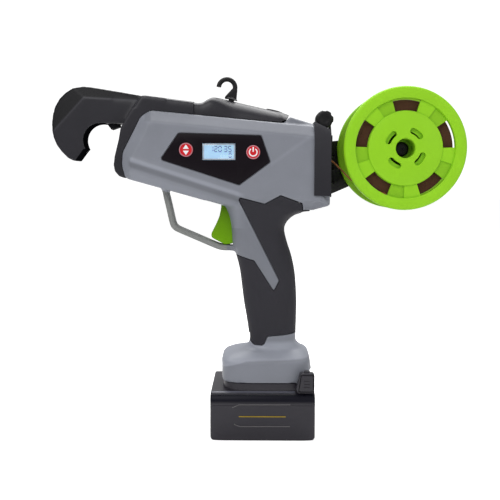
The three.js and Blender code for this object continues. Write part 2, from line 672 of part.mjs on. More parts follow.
function panelCut() {
  const recess = slab(scaled(panelShares, headAt, panel.round), [panelFace - overrun, panelBack + seat],
    { inset: -seat });
  const [x, z] = headAt(...displayShare);
  const window = block(
    [x - display.length / 2 - display.rim, x + display.length / 2 + display.rim],
    [panelFace, boardFront], [z - display.height / 2 - display.rim, z + display.height / 2 + display.rim],
  );
  const holes = [adjustShare, powerShare].map((share) =>
    pin(button.radius + button.flange + running, headAt(...share), [panelFace, boardFront]));
  return join(recess, window, ...holes);
}

const switchMiddle = () => {
  const [x, z] = gripAt(triggerShares[8][0], switchShare);
  return [x + trigger.pull + limitSwitch.clear + limitSwitch.length / 2, z];
};

function switchShelf(side) {
  const [x, z] = switchMiddle();
  const near = limitSwitch.halfWidth + seat;
  return block([x - limitSwitch.length / 3, x + limitSwitch.length / 3], span(side * near,
    side * grip.halfWidth),
    [z - limitSwitch.height / 3, z + limitSwitch.height / 3]);
}

function panelPosts() {
  const [x, z] = headAt(...displayShare);
  return [-1, 1].map((side) =>
    pin(screw.pilot, [x + side * display.length, z - display.height], [-head.halfWidth + wall / 2,
      boardFront - seat]));
}

// Grip sleeves
const sleeve = outerForm(0).intersect(rubberPrism(0));

// Nose halves
function noseForm() {
  const hook = slab(scaled(hookShares, headAt, nose.round), [-nose.hookHalf, nose.hookHalf],
    { chamfer: nose.hookChamfer });
  const rim = slab(scaled(frameShares, headAt, nose.round), [-nose.frameHalf, nose.frameHalf],
    { chamfer: nose.frameChamfer });
  const [x, z] = jawCentre;
  const groove = [jaw.radius - jaw.grooveLip, jaw.radius + jaw.grooveDepth];
  const ring = turned([[groove[0], -jaw.grooveHalf], [groove[1], -jaw.grooveHalf],
    [groove[1], jaw.grooveHalf], [groove[0], jaw.grooveHalf]], fine);
  const guideZ = headAt(0, guideShares.at(-1)[1])[1];
  const channel = block([x, twistEnd + overrun], [-jaw.grooveHalf, jaw.grooveHalf],
    [guideZ - jaw.grooveHalf, guideZ + jaw.grooveHalf]);
  const shape = cut(join(hook, rim), headForm(-seat), pin(jaw.radius, jawCentre, [-reach, reach], fine));
  const fastened = join(shape, noseOpening(-seat).intersect(noseSpace()));
  return cut(
    fastened, ring.translate([x, 0, z]), channel, toothForm(seat),
    rod(rotor.radius + running, [twistEnd - overrun * 4, 0, twistAxis],
      [twistEnd + rotor.length + running, 0, twistAxis]),
    rod(rotor.shaft + running, [twistEnd, 0, twistAxis], [gearX, 0, twistAxis]),
    pipe(guideCurve, tube.bore + tube.wall + seat, round),
    join(pin(screw.head + seat, headAt(...noseScrewShare), [nose.hookHalf / 2, reach], small),
      pin(screw.pilot, headAt(...noseScrewShare), [nose.hookHalf / 2 - screw.length, nose.hookHalf], six)),
  );
}

// The space between the frame's front and the inner end of its plug.
function noseSpace() {
  const corners = [...frameShares.slice(...frameFront), ...plugEndShares];
  return slab(corners.map(([u, w]) => [...headAt(u, w), 0]), [-reach, reach]);
}

function toothForm(grow) {
  const corners = toothShares.map(([u, w]) => [...headAt(u, w), 0]);
  const half = tooth.halfWidth + grow;
  return slab(corners, [-half, half], { inset: -grow });
}

// Hood over the ridge of the head
// An arched form along the hood, shrunk by an inset.
function archForm(inset) {
  const half = hood.halfWidth - inset;
  const floor = headAt(0, hoodShares[0][1])[1];
  const levels = hoodShares.slice(...hoodTop).map(([u, w]) => {
    const [x, top] = headAt(u, w);
    const points = [new THREE.Vector2(half, floor)];
    for (let i = 0; i <= round / 2; i++) {
      const angle = (i / round) * 2 * Math.PI;
      points.push(new THREE.Vector2(half * Math.cos(angle),
        top - inset - hood.rise * (1 - Math.sin(angle))));
    }
    return { points: [...points, new THREE.Vector2(-half, floor)], at: x };
  });
  const side = slab(scaled(hoodShares, headAt, head.round), [-half, half], { inset });
  return skin(levels, lengthways).intersect(side);
}

function hoodForm() {
  const [x, z] = headAt(...badgeShare);
  const badge = slab(ovalCorners(hood.badgeLength / 2, hood.badgeHalf), [-hood.badge * 2, hood.badge],
    { lift: upwards });
  const shell = cut(join(archForm(0), badge.rotate([0, hoodTilt(), 0]).translate([x, 0, z])),
    archForm(hood.wall));
  return largest(cut(shell, headForm(-seat), rod(hanger.shank + running, hangerFoot(-hood.rise),
    hangerFoot(hood.rise))));
}

const ovalCorners = (a, b) => [[-a, -b, b], [a, -b, b], [a, b, b], [-a, b, b]];

function hoodTilt() {
  const [a, b] = hoodSlopeShares.map(([u, w]) => headAt(u, w));
  return (Math.atan2(a[1] - b[1], b[0] - a[0]) * 180) / Math.PI;
}

const hoodNormal = () => {
  const tilt = (hoodTilt() * Math.PI) / 180;
  return new THREE.Vector3(Math.sin(tilt), 0, Math.cos(tilt));
};

function hangerFoot(height) {
  const [x, z] = headAt(...hangerShare);
  return new THREE.Vector3(x, 0, z).addScaledVector(hoodNormal(), height).toArray();
}

// Hanging hook: a bent bar on a flared foot, with its shank through the hood.
function hangerForm() {
  const top = new THREE.Vector3(...hangerFoot(hanger.rise));
  const points = [new THREE.Vector3(...hangerFoot(hanger.sink)), top];
  const centre = top.clone().add(new THREE.Vector3(-hanger.ring, 0, 0));
  for (let i = 1; i <= six; i++) {
    const angle = (i / six) * Math.PI;
    points.push(centre.clone().add(new THREE.Vector3(
      hanger.ring * Math.cos(angle), 0, hanger.ring * Math.sin(angle))));
  }
  const bar = pipe(new THREE.CatmullRomCurve3(points), hanger.bar / 2, round);
  const flare = rod(hanger.baseRadius, hangerFoot(2 * seat), hangerFoot(hanger.rise * 0.8), bent,
    hanger.bar / 2);
  const shank = rod(hanger.shank, clipPlace(-hanger.tip), hangerFoot(hanger.sink), bent);
  const groove = cut(
    rod(hanger.shank + overrun, clipPlace(-seat), clipPlace(clip.thickness + seat)),
    rod(hanger.shank * 0.7, clipPlace(-hanger.tip), clipPlace(clip.thickness + hanger.tip)),
  );
  return cut(join(bar, flare, shank), groove);
}

const clipPlace = (height) => hangerFoot(height - hood.wall - clip.drop);

function clipForm() {
  const ring = rod(clip.radius, clipPlace(0), clipPlace(clip.thickness), bent);
  const through = [clipPlace(-hanger.tip), clipPlace(clip.thickness + hanger.tip)];
  return cut(ring, rod(hanger.shank * 0.7 + seat, ...through, bent));
}

// Clamp knob with its stud and nut, turning round an axis across the tool
function knobForm() {
  const points = [];
  const steps = knob.lobes * 4;
  for (let i = 0; i < steps; i++) {
    const angle = (i / steps) * 2 * Math.PI;
    const radius = knob.waist + (knob.radius - knob.waist) * (0.5 + 0.5 * Math.cos(knob.lobes * angle));
    points.push([radius * Math.cos(angle), radius * Math.sin(angle), 0]);
  }
  const near = -knobInner();
  const grip = slab(points, [near - knob.width, near], { chamfer: knob.stud / 2 });
  const far = knobInner() + 2 * seat + arm.tab;
  return join(grip, pin(knob.stud, [0, 0], [near - seat, far + knob.nutWidth]),
    pin(knob.nut, [0, 0], [far, far + knob.nutWidth], six));
}

const knobInner = () => arm.tab / 2 + seat;

// Guard and trigger
function guardForm() {
  const bar = slab(scaled(guardShares, gripAt, guard.round), [-guard.halfWidth, guard.halfWidth],
    { chamfer: guard.chamfer });
  return largest(cut(bar, outerForm(-seat)));
}

function triggerForm() {
  const corners = scaled(triggerShares, gripAt, trigger.round);
  const body = slab(corners, [-trigger.halfWidth, trigger.halfWidth], { chamfer: trigger.chamfer });
  const half = spring.width / 2 + spring.wire + seat;
  const [x, z] = pinAt;
  const outer = spring.radius + spring.wire + seat;
  const legRoom = block([x, x + reach], [-half, half], [z - outer - spring.room, z + reach]);
  return cut(body, pin(trigger.pinRadius + running, pinAt, [-reach, reach]), pin(outer, pinAt, [-half,
    half]), legRoom);
}

// A coil of one and a half turns with a leg at each end, both pointing to the rear.
function triggerSpringForm() {
  const [x, z] = pinAt;
  const half = spring.width / 2;
  const turns = 1.5;
  const points = [new THREE.Vector3(x + spring.lowLeg, -half, z - spring.radius)];
  for (let i = 0; i <= turns * round; i++) {
    const angle = -Math.PI / 2 - (i / round) * 2 * Math.PI;
    const across = -half + (spring.width * i) / (turns * round);
    points.push(new THREE.Vector3(x + spring.radius * Math.cos(angle), across,
      z + spring.radius * Math.sin(angle)));
  }
  points.push(new THREE.Vector3(x + spring.highLeg, half, z + spring.radius));
  return pipe(new THREE.CatmullRomCurve3(points), spring.wire, turns * bent);
}

function switchForm() {
  const [x, z] = switchMiddle();
  const body = block([x - limitSwitch.length / 2, x + limitSwitch.length / 2],
    [-limitSwitch.halfWidth, limitSwitch.halfWidth], [z - limitSwitch.height / 2,
      z + limitSwitch.height / 2]);
  const stud = rod(limitSwitch.clear / 2, [x - limitSwitch.length / 2 - limitSwitch.clear / 2, 0, z],
    [x, 0, z]);
  return join(body, stud);
}

// Control panel, its display and its buttons
function panelForm() {
  const plate = slab(scaled(panelShares, headAt, panel.round), [panelFace, panelBack]);
  const [x, z] = headAt(...displayShare);
  const hole = block([x - display.length / 2 - seat, x + display.length / 2 + seat],
    [panelFace - overrun, panelBack + overrun],
    [z - display.height / 2 - seat, z + display.height / 2 + seat]);
  const holes = [adjustShare, powerShare].map((share) =>
    pin(button.radius + running, headAt(...share), [panelFace - overrun, panelBack + overrun]));
  return cut(plate, hole, ...holes);
}

function windowForm() {
  const [x, z] = headAt(...displayShare);
  const outer = block([x - display.length / 2, x + display.length / 2],
    [panelFace + seat, panelFace + seat + display.glass], [z - display.height / 2, z + display.height / 2]);
  return outer;
}

function lcdForm() {
  const [x, z] = headAt(...displayShare);
  const rim = display.rim - seat;
  const front = Math.max(panelFace + 2 * seat + display.glass, panelBack + seat);
  return block([x - display.length / 2 - rim, x + display.length / 2 + rim],
    [front, boardFront - seat], [z - display.height / 2 - rim, z + display.height / 2 + rim]);
}

function buttonForm() {
  const cap = pin(button.radius, [0, 0], [panelFace - button.proud, panelBack + 2 * seat]);
  const flangeAt = panelBack + seat;
  const flange = pin(button.radius + button.flange, [0, 0], [flangeAt, flangeAt + button.flange]);
  const stem = pin(button.stem, [0, 0], [flangeAt, boardFront - board.domeHeight - button.travel - seat]);
  return join(cap, flange, stem);
}

function boardForm() {
  const [[x0, z1], [x1, z0]] = boardShares.map(([u, w]) => headAt(u, w));
  const plate = block([x0, x1], [boardFront, boardFront + board.thickness], [z0, z1]);
  const domes = [adjustShare, powerShare].map((share) =>
    pin(board.domeRadius, headAt(...share), [boardFront - board.domeHeight, boardFront + seat]));
  return join(plate, ...domes);
}

// Gears: straight flanks inside the involute, turned by a phase in teeth
const pressureAngle = (20 * Math.PI) / 180;
const toothShare = 0.92;
const rootShare = 1.25;
const tipShare = 0.9;
function gearOutline(teeth, size, phase) {
  const pitch = (teeth * size) / 2;
  const base = pitch * Math.cos(pressureAngle);
  const involute = (a) => Math.tan(a) - a;
  const halfAt = (r) => {
    const lean = r > base ? involute(Math.acos(base / r)) : 0;
    return (toothShare * Math.PI) / (2 * teeth) + involute(pressureAngle) - lean;
  };
  const [root, tip] = [pitch - rootShare * size, pitch + tipShare * size];
  const points = [];
  for (let i = 0; i < teeth; i++) {
    const middle = ((i + phase) / teeth) * 2 * Math.PI;
    for (const [r, side] of [[root, -1], [tip, -1], [tip, 1], [root, 1]]) {
      const angle = middle + side * halfAt(r);
      points.push([r * Math.cos(angle), r * Math.sin(angle), 0]);
    }
  }
  return points;
}

const bored = (piece, radius) => cut(piece, pin(radius, [0, 0], [-reach, reach]));

// Twisting drive: gear pieces turn round a lengthways axis
const crossGear = (teeth, size, width, phase) =>
  slab(gearOutline(teeth, size, phase), [-width / 2, width / 2], { lift: lengthways });

function twistShaftForm() {
  const rear = plateX + gearPlate.thickness / 2 + overrun;
  const shaft = join(
    rod(rotor.radius, [twistEnd, 0, 0], [twistEnd + rotor.length, 0, 0]),
    rod(rotor.shaft, [twistEnd + running, 0, 0], [rear, 0, 0]),
  );
  const slotHalf = rotor.slotWidth / 2;
  return cut(shaft, block([twistEnd - overrun, twistEnd + rotor.slotDepth], [-reach, reach],
    [-slotHalf, slotHalf]));
}

function gearPlateForm() {
  const half = gearPlate.thickness / 2;
  const plate = headForm(wall + seat).intersect(block([plateX - half, plateX + half], [-reach, reach],
    [-reach, reach]));
  const clear = [plateX - overrun, plateX + overrun];
  const tubeZ = guideCurve.getPoint(plateTubeShare).z;
  return cut(
    plate, rod(rotor.shaft + running, [clear[0], 0, twistAxis], [clear[1], 0, twistAxis]),
    rod(twistMotor.nose + seat, [clear[0], 0, twistAxis - twistDistance], [clear[1], 0,
      twistAxis - twistDistance]),
    block(clear, [-tube.bore - tube.wall - running, tube.bore + tube.wall + running],
      [tubeZ - 2 * overrun, reach]),
    block(clear, [-reach, boardFront + board.thickness + seat], [-reach, reach]),
  );
}

function twistMotorForm() {
  const front = plateX + gearPlate.thickness / 2 + seat;
  const z = twistAxis - twistDistance;
  const can = rod(twistMotor.radius, [front, 0, z], [front + twistMotor.length, 0, z]);
  const spigot = rod(twistMotor.nose, [front - twistMotor.noseLength, 0, z], [front + seat, 0, z]);
  const rear = rod(twistMotor.nose, [front + twistMotor.length - seat, 0, z],
    [front + twistMotor.length + twistMotor.noseLength, 0, z]);
  const bore = rod(twistMotor.shaft + running, [gearX, 0, z], [front + twistMotor.length / 2, 0, z]);
  return cut(join(can, spigot, rear), bore);
}

function twistPinionForm() {
  const gear = crossGear(twist.pinionTeeth, twist.moduleSize, twist.faceWidth, 0.5);
  const front = plateX + gearPlate.thickness / 2 - gearX;
  return join(gear, rod(twistMotor.shaft, [0, 0, 0], [front + twistMotor.length / 3, 0, 0]));
}

// Feeding drive: gear pieces turn round axes across the tool
const gearNear = roller.halfWidth + 2 * running + frame.plate + running;
const gearFar = gearNear + feed.faceWidth + running;

function rollerForm(end) {
  const [r, h, s] = [roller.radius, roller.halfWidth, roller.shaft];
  const inner = r - roller.groove;
  const g = roller.grooveHalf;
  const start = -frame.nearPlate - frame.plate;
  return turned([
    [0, start], [s, start], [s, -h], [r, -h], [r, -g], [inner, -g * 0.8], [inner, g * 0.8], [r, g], [r, h],
    [s, h], [s, end], [0, end],
  ]);
}

function clusterGearForm() {
  const small = slab(gearOutline(feed.rollerTeeth, feed.moduleSize, 0), [gearNear,
    gearNear + feed.faceWidth]);
  const large = slab(gearOutline(feed.driveTeeth, feed.moduleSize, feedPhase(feed.driveTeeth)),
    [gearFar, gearFar + feed.faceWidth]);
  const collar = pin(roller.shaft * 2, [0, 0], [gearNear, gearFar + feed.faceWidth]);
  return bored(join(small, large, collar), roller.shaft + seat);
}

// The phase that turns a tooth's middle, or with a half a gap, onto the line to the motor.
function feedPhase(teeth, gap = 0) {
  return ((Math.PI + feedAngle) / (2 * Math.PI)) * teeth + gap;
}

function idlerGearForm() {
  const gear = slab(gearOutline(feed.rollerTeeth, feed.moduleSize, 0.5), [gearNear,
    gearNear + feed.faceWidth]);
  return bored(gear, roller.shaft + seat);
}

function feedPinionForm() {
  const toShaft = (feedAngle / (2 * Math.PI)) * feed.pinionTeeth + 0.5;
  const gear = slab(gearOutline(feed.pinionTeeth, feed.moduleSize, toShaft), [gearFar,
    gearFar + feed.faceWidth]);
  return join(gear, pin(feedMotor.shaft, [0, 0], [-feedMotor.length / 3, gearFar + seat]));
}

function feedMotorForm() {
  const face = roller.halfWidth + 2 * running - seat;
  const can = pin(feedMotor.radius, motorAxis, [face - feedMotor.length, face]);
  return cut(can, pin(feedMotor.shaft + running, motorAxis, [-feedMotor.length / 2, reach]));
}

function linkPlate(places, radius, [y0, y1]) {
  const discs = places.map((place) => pin(radius, place, [y0, y1]));
  const bars = places.slice(1).map(([x1, z1], i) => {
    const [x0, z0] = places[i];
    const [dx, dz] = [x1 - x0, z1 - z0];
    const scale = radius / Math.hypot(dx, dz);
    const [nx, nz] = [-dz * scale, dx * scale];
    return slab([[x0 + nx, z0 + nz, 0], [x0 - nx, z0 - nz, 0], [x1 - nx, z1 - nz, 0], [x1 + nx,
      z1 + nz, 0]],
      [y0, y1]);
  });
  return join(...discs, ...bars);
}

function feedFrameForm() {
  const far = [roller.halfWidth + 2 * running, roller.halfWidth + 2 * running + frame.plate];
  const near = [-frame.nearPlate - frame.plate, -frame.nearPlate];
  const back = headRear - bracket.back - seat - wall - seat;
  const anchor = [back - frame.boss, wireHeight];
  const body = join(
    linkPlate([motorAxis, feedAxis, idlerAxis, anchor], frame.boss, far),
    linkPlate([feedAxis, idlerAxis, anchor], frame.boss, near),
    block([back - frame.back, back], [near[0], far[1]], [wireHeight + overrun,
      wireHeight + 2 * frame.boss]),
    block([back - frame.back, back], [near[0], far[1]], [wireHeight - 2 * frame.boss,
      wireHeight - overrun]),
    block([back - frame.back, back], near, [wireHeight - 2 * frame.boss, wireHeight + 2 * frame.boss]),
    block([back - frame.back, back], far, [wireHeight - 2 * frame.boss, wireHeight + 2 * frame.boss]),
  );
  return cut(
    body, pin(roller.shaft + running, feedAxis, [-reach, reach]), pin(roller.shaft + running, idlerAxis,
      [-reach, reach]),
    pin(feedMotor.shaft + running, motorAxis, [-reach, reach]),
    pin(roller.radius + 2 * running, feedAxis, [-roller.halfWidth - running, roller.halfWidth + running]),
    pin(roller.radius + 2 * running, idlerAxis, [-roller.halfWidth - running, roller.halfWidth + running]),
  );
}

// Reel: bracket, arm and axle
function bracketForm() {
  const keep = block([bracketFront, headRear], [-reach, reach], [bracketBottom, reach]);
  const inside = block([-reach, headRear - bracket.back], [-reach, reach], [-reach, reach]);
  const ear = pin(knob.radius, knobCentre, [-arm.tab / 2, arm.tab / 2]);
  const well = cut(pin(knob.radius + running * 2, knobCentre, [-reach, reach]),
    pin(reach, knobCentre, [-arm.tab / 2, arm.tab / 2]));
  const cap = cut(headForm(-bracket.skin).intersect(keep), headForm(-seat).intersect(inside), well);
  const joined = join(cap, ear.intersect(block([bracketFront, headRear], [-reach, reach],
    [headAt(0, bracketEarShare)[1], reach])));
  return largest(cut(
    joined, headForm(-seat).intersect(inside), pin(knob.stud + running, knobCentre, [-reach, reach]),
    rod(inlet.radius + seat, [bracketFront, 0, wireHeight], [headRear + overrun, 0, wireHeight]),
  ));
}

function inletForm() {
  const front = headRear - bracket.back - wall;
  const sleeveForm = rod(inlet.radius, [front, 0, wireHeight], [headRear + seat, 0, wireHeight]);
  const lip = rod(inlet.lipRadius, [headRear + seat, 0, wireHeight], [headRear + seat + inlet.lip, 0,
    wireHeight]);
  return cut(join(sleeveForm, lip), rod(inlet.bore, [front - overrun, 0, wireHeight],
    [headRear + overrun, 0, wireHeight]));
}

function armForm() {
  const [low, high] = armRootShares.map((w) => headAt(0, w)[1]);
  const x0 = headRear + seat;
  const [cx, cz] = reelCentre;
  const across = [armInner, armInner + arm.thickness];
  const cheek = slab([[x0, low, 0], [cx, cz - arm.hub, 0], [cx, cz + arm.hub, 0], [x0, high, 0]], across);
  const start = inlet.lipRadius + 2 * seat;
  const base = block([x0, x0 + arm.base], [start, across[1]], [low, high]);
  const ribs = Array.from({ length: arm.ribs }, (_, i) => {
    const z = low + ((i + 1) / (arm.ribs + 1)) * (high - low);
    return slab([[x0, start, 0], [x0 + arm.base + arm.tab, across[0], 0], [x0 + arm.base + arm.tab,
      across[1], 0],
      [x0, across[1], 0]], [z - arm.rib / 2, z + arm.rib / 2], { lift: upwards });
  });
  const tabAt = [arm.tab / 2 + seat, arm.tab * 1.5 + seat];
  const [kx, kz] = knobCentre;
  const tab = join(
    block([x0, x0 + arm.base], [tabAt[0], across[1]], [high - arm.tab, high + arm.tab]),
    slab([[x0, high - arm.tab, 0], [x0 + arm.base, high - arm.tab, 0], [kx + knob.waist, kz, 0],
      [x0, kz, 0]], tabAt),
    pin(knob.waist, knobCentre, tabAt),
  );
  const hole = pin(hub.narrow - running + seat, reelCentre, [-reach, reach]);
  const disc = pin(arm.hub, reelCentre, across, fine);
  return cut(join(cheek, base, disc, tab, ...ribs), hole, pin(knob.stud + running, knobCentre, [-reach,
    reach]),
    headForm(-bracket.skin - seat));
}

function axleForm() {
  const radius = hub.narrow - running;
  const end = -reel.half + hub.boreDepth - seat;
  const far = armInner + arm.thickness;
  const body = join(
    pin(radius, reelCentre, [end, far]),
    pin(axle.collar, reelCentre, [far + seat, far + seat + axle.collarThickness * 4]),
    pin(radius, reelCentre, [far - seat, far + 2 * seat]),
  );
  return cut(body, pin(axle.screw / 2 + seat, reelCentre, [end - seat, end + 4 * axle.screw]));
}

function axleCapForm() {
  const at = -reel.half + hub.boreDepth - 2 * seat;
  const radius = hub.bore - running;
  const profile = [[0, 0], [radius, 0], [radius, -axle.cap], [radius - axle.capDome,
    -axle.cap - axle.capDome],
    [axle.screw, -axle.cap - axle.capDome], [axle.screw, -axle.cap], [0, -axle.cap]];
  const dome = turned(profile.map(([r, y]) => [r, at + y]));
  const shank = pin(axle.screw / 2, [0, 0], [at - seat, at + 3 * axle.screw]);
  return join(dome, shank);
}

// Spool: two windowed flanges on a hollow hub, turning round the Y axis
function sector(inner, outer, from, to, across) {
  const shape = new THREE.Shape();
  shape.absarc(0, 0, outer, from, to, false);
  shape.absarc(0, 0, inner, to, from, true);
  const points = shape.getPoints(corner);
  const ring = points.slice(0, points.at(-1).distanceTo(points[0]) < seat / 10 ? -1 : undefined);
  return slab(ring.map((p) => [p.x, p.y, 0]), across);
}

const windowPitch = (2 * Math.PI) / web.windows;
const windowHalf = (16.5 * Math.PI) / 180;
const windowTop = Math.PI / 2;
const kidneyHalf = (23 * Math.PI) / 180;

// A spoke between the disc and the rim, its one half a step lower than the other.
function spokeForm(middle, back, side) {
  const half = windowPitch / 2 - windowHalf;
  const [inner, outer] = [web.inner - web.lap, reel.rim - reel.rimWidth + web.lap];
  const face = reel.half - web.recess;
  return join(
    sector(inner, outer, middle - half, middle + half, span(side * back, side * (face - web.step))),
    sector(inner, outer, middle - half, middle, span(side * back, side * face)),
  );
}

function flangeForm(side) {
  const rimInner = reel.rim - reel.rimWidth;
  const face = reel.half;
  const back = face - reel.rimThickness;
  const ring = (profile) => turned(profile.map(([r, y]) => [r, side * y]), fine);
  const rim = ring([[rimInner, back], [reel.rim, back], [reel.rim, face - reel.rimRound],
    [reel.rim - reel.rimRound, face], [rimInner, face]]);
  const middle = hub.bore + hub.sleeve / 2;
  const disc = ring([[middle, back], [web.inner, back], [web.inner, face - web.disc], [middle,
    face - web.disc]]);
  const spokes = Array.from({ length: web.windows }, (_, i) =>
    spokeForm(windowTop + (i + 0.5) * windowPitch, back, side));
  const through = span(side * (back - overrun), side * (face + overrun));
  const slots = Array.from({ length: kidney.count }, (_, i) => {
    const at = ((i + 0.6) / kidney.count) * 2 * Math.PI;
    return sector(kidney.inner, kidney.outer, at - kidneyHalf, at + kidneyHalf, through);
  });
  return cut(join(rim, disc, ...spokes), ...slots);
}

function spoolForm() {
  const inner = reel.half - reel.rimThickness + seat;
  const end = reel.half - web.disc - seat / 2;
  const step = hub.boreDepth - reel.half;
  const hubRing = turned([[hub.outer - hub.wall, -inner], [hub.outer, -inner], [hub.outer, inner],
    [hub.outer - hub.wall, inner]]);
  const sleeveRing = turned([[hub.bore, -end], [hub.bore + hub.sleeve, -end], [hub.bore + hub.sleeve, end],
    [hub.narrow, end], [hub.narrow, step], [hub.bore, step]]);
  return join(flangeForm(-1), flangeForm(1), hubRing, sleeveRing);
}

// Wire on the spool: a plain core and one outer layer that winds as one unbroken tube
const windingHalf = reel.half - reel.rimThickness - wire.edge;
const windingRadius = wire.layerTop - wire.radius;
const loopSteps = 24;
const windingEnd = -1.95; // angle in radians where the wire leaves the layer
class WindingCurve extends THREE.Curve {
  getPoint(t) {
    const turns = t * wire.loops;
    const angle = windingEnd - (wire.loops - turns) * 2 * Math.PI;
    const climb = THREE.MathUtils.smoothstep(turns, 0, 0.12);
    const radius = windingRadius - 4 * wire.radius * (1 - climb);
    const y = (windingHalf - wire.radius) * (1 - 2 * t);
    return new THREE.Vector3(radius * Math.cos(angle), y, radius * Math.sin(angle));
  }
}

function windingForm() {
  const chord = windingRadius * Math.cos(Math.PI / loopSteps);
  const coreRadius = chord - wire.radius - wire.coreGap;
  const core = turned([[hub.outer + seat, -windingHalf], [coreRadius, -windingHalf], [coreRadius,
    windingHalf],
    [hub.outer + seat, windingHalf]], fine);
  const layer = pipe(new WindingCurve(), wire.radius, wire.loops * loopSteps);
  return join(core, layer);
}

// The least gap between neighbouring loops, measured between points of the layer's middle line.
function leastLoopGap() {
  const curve = new WindingCurve();
  const count = wire.loops * loopSteps;
  const points = Array.from({ length: count + 1 }, (_, i) => curve.getPoint(i / count));
  let least = Infinity;
  points.forEach((p, i) => {
    for (let j = i + loopSteps / 2; j < points.length; j++) least = Math.min(least,
      p.distanceTo(points[j]));
  });
  return least - 2 * wire.radius;
}
console.log("least gap between loops of the winding:", leastLoopGap().toFixed(3), "mm");

// The wire on its way from the winding through the inlet, the rollers and the guide tube
function wirePath() {
  const end = new WindingCurve().getPoint(1);
  const along = new THREE.Vector3(-Math.sin(windingEnd), 0, Math.cos(windingEnd)).negate();
  const [cx, cz] = reelCentre;
  const lift = new THREE.Vector3(Math.cos(windingEnd), 0,
    Math.sin(windingEnd)).multiplyScalar(2 * wire.radius + seat);
  const start = end.clone().add(new THREE.Vector3(cx, 0, cz)).add(lift);
  const points = [start, start.clone().addScaledVector(along, 3 * wire.radius)];
  points.push(new THREE.Vector3(headRear + strand.out, end.y * 0.45, cz - strand.drop));
  points.push(new THREE.Vector3(headRear + strand.nearOut, end.y * 0.15, cz - strand.nearDrop));
  points.push(new THREE.Vector3(headRear + inlet.lip, 0, wireHeight));
  points.push(new THREE.Vector3(headRear - strand.inside, 0, wireHeight));
  return points;
}

function tieWireForm() {
  const lead = new THREE.CatmullRomCurve3(wirePath());
  const straight = [headRear - strand.inside, rollerX + strand.straight, rollerX - strand.straight].map(
    (x) => new THREE.Vector3(x, 0, wireHeight),
  );
  const all = [...lead.getPoints(round).slice(0, -1), ...straight, ...guideCurve.getPoints(fine)];
  return pipe(new THREE.CatmullRomCurve3(all), wire.radius, strandSteps, thinSides);
}

const tubeForm = () => cut(pipe(guideCurve, tube.bore + tube.wall, round), pipe(guideCurve, tube.bore,
  round));

// Assembly
const tool = new THREE.Group();
const housing = housingForm();
const noseBody = noseForm();
const sleeveCut = join(...screwPlaces().map(([x, z]) => pin(screw.head + seat, [x, z], [0, reach], small)));
const sleeveSkin = cut(sleeve, outerForm(rubber.thickness), triggerPocket());

tool.add(
  part("left_housing", largest(cut(join(housing.intersect(leftSpace), switchShelf(-1),
    ...panelPosts()), panelCut())), grey),
  part("right_housing", largest(join(housing.intersect(rightSpace), switchShelf(1))), grey),
  part("grip_sleeve_left", largest(sleeveSkin.intersect(leftSpace)), softBlack),
  part("grip_sleeve_right", largest(cut(sleeveSkin.intersect(rightSpace), sleeveCut)), softBlack),
  part("nose_left", largest(noseBody.intersect(leftSpace)), dark),
  part("nose_right", largest(noseBody.intersect(rightSpace)), dark),
  part("top_hood", hoodForm(), dark),
  part("jaw_tooth", toothForm(0), steel),
  part("trigger_guard", guardForm(), grey),
  part("trigger", triggerForm(), triggerGreen),
  part("trigger_spring", triggerSpringForm(), steel),
  part("trigger_pin", pin(trigger.pinRadius, pinAt, [-screw.seatAt, screw.seatAt]), steel),
  part("trigger_switch", switchForm(), black),
  part("control_panel", panelForm(), black),
  part("display_window", windowForm(), clearBlue),
  part("lcd_module", lcdForm(), steel),
  part("control_board", boardForm(), boardGreen),
  part("gear_plate", largest(gearPlateForm()), steel),
  part("twist_motor", twistMotorForm(), steel),
  part("feed_frame", feedFrameForm(), steel),
  part("feed_motor", feedMotorForm(), steel),
  part("wire_guide_tube", tubeForm(), steel),
  part("tie_wire", tieWireForm(), strandBrown),
  part("rear_bracket", bracketForm(), dark),
  part("wire_inlet_bush", inletForm(), black),
  part("reel_arm", largest(armForm()), black),
  part("reel_axle", axleForm(), black),
  part("terminal_block", terminalForm(), brass),
);

screwPlaces().forEach((place, i) => tool.add(part("housing_screw_" + (i + 1), screwForm(place), steel)));
tool.add(part("nose_screw", screwForm(headAt(...noseScrewShare), nose.hookHalf / 2), steel));

// Buttons on the panel
for (const [name, share] of [["adjust_button", adjustShare], ["power_button", powerShare]]) {
  const cap = part(name, buttonForm(), red);
  const [x, z] = headAt(...share);
  cap.position.set(x, 0, z);
  tool.add(cap);
}

// Hanging hook and clamp knob
tool.add(part("hanging_hook", hangerForm(), black), part("hook_clip", clipForm(), steel));
const clampKnob = part("clamp_knob", knobForm(), black);
clampKnob.position.set(knobCentre[0], 0, knobCentre[1]);
tool.add(clampKnob);

// Twisting drive
const twister = new THREE.Group();
twister.position.z = twistAxis;
twister.add(part("twist_shaft", twistShaftForm(), steel));
const twistGear = part(
  "twist_gear",
  cut(crossGear(twist.gearTeeth, twist.moduleSize, twist.faceWidth, 0),
    rod(rotor.shaft + seat, [-reach, 0, 0], [reach, 0, 0])),
  brass,
);
twistGear.position.x = gearX;
const twistPinion = part("twist_pinion", twistPinionForm(), steel);
twistPinion.position.set(gearX, 0, -twistDistance);
twister.add(twistGear, twistPinion);
tool.add(twister);

// Feeding drive
const feedShaft = part("feed_roller", rollerForm(gearFar + feed.faceWidth + running), steel);
const feedGear = part("feed_gear", clusterGearForm(), brass);
const idlerShaft = part("idler_roller", rollerForm(gearNear + feed.faceWidth + running), steel);
const idlerGear = part("idler_gear", idlerGearForm(), brass);
const feedPinion = part("feed_pinion", feedPinionForm(), steel);
const places = [[feedShaft, feedAxis], [feedGear, feedAxis], [idlerShaft, idlerAxis], [idlerGear,
  idlerAxis],
  [feedPinion, motorAxis]];
for (const [mesh, [x, z]] of places) {
  mesh.position.set(x, 0, z);
  tool.add(mesh);
}

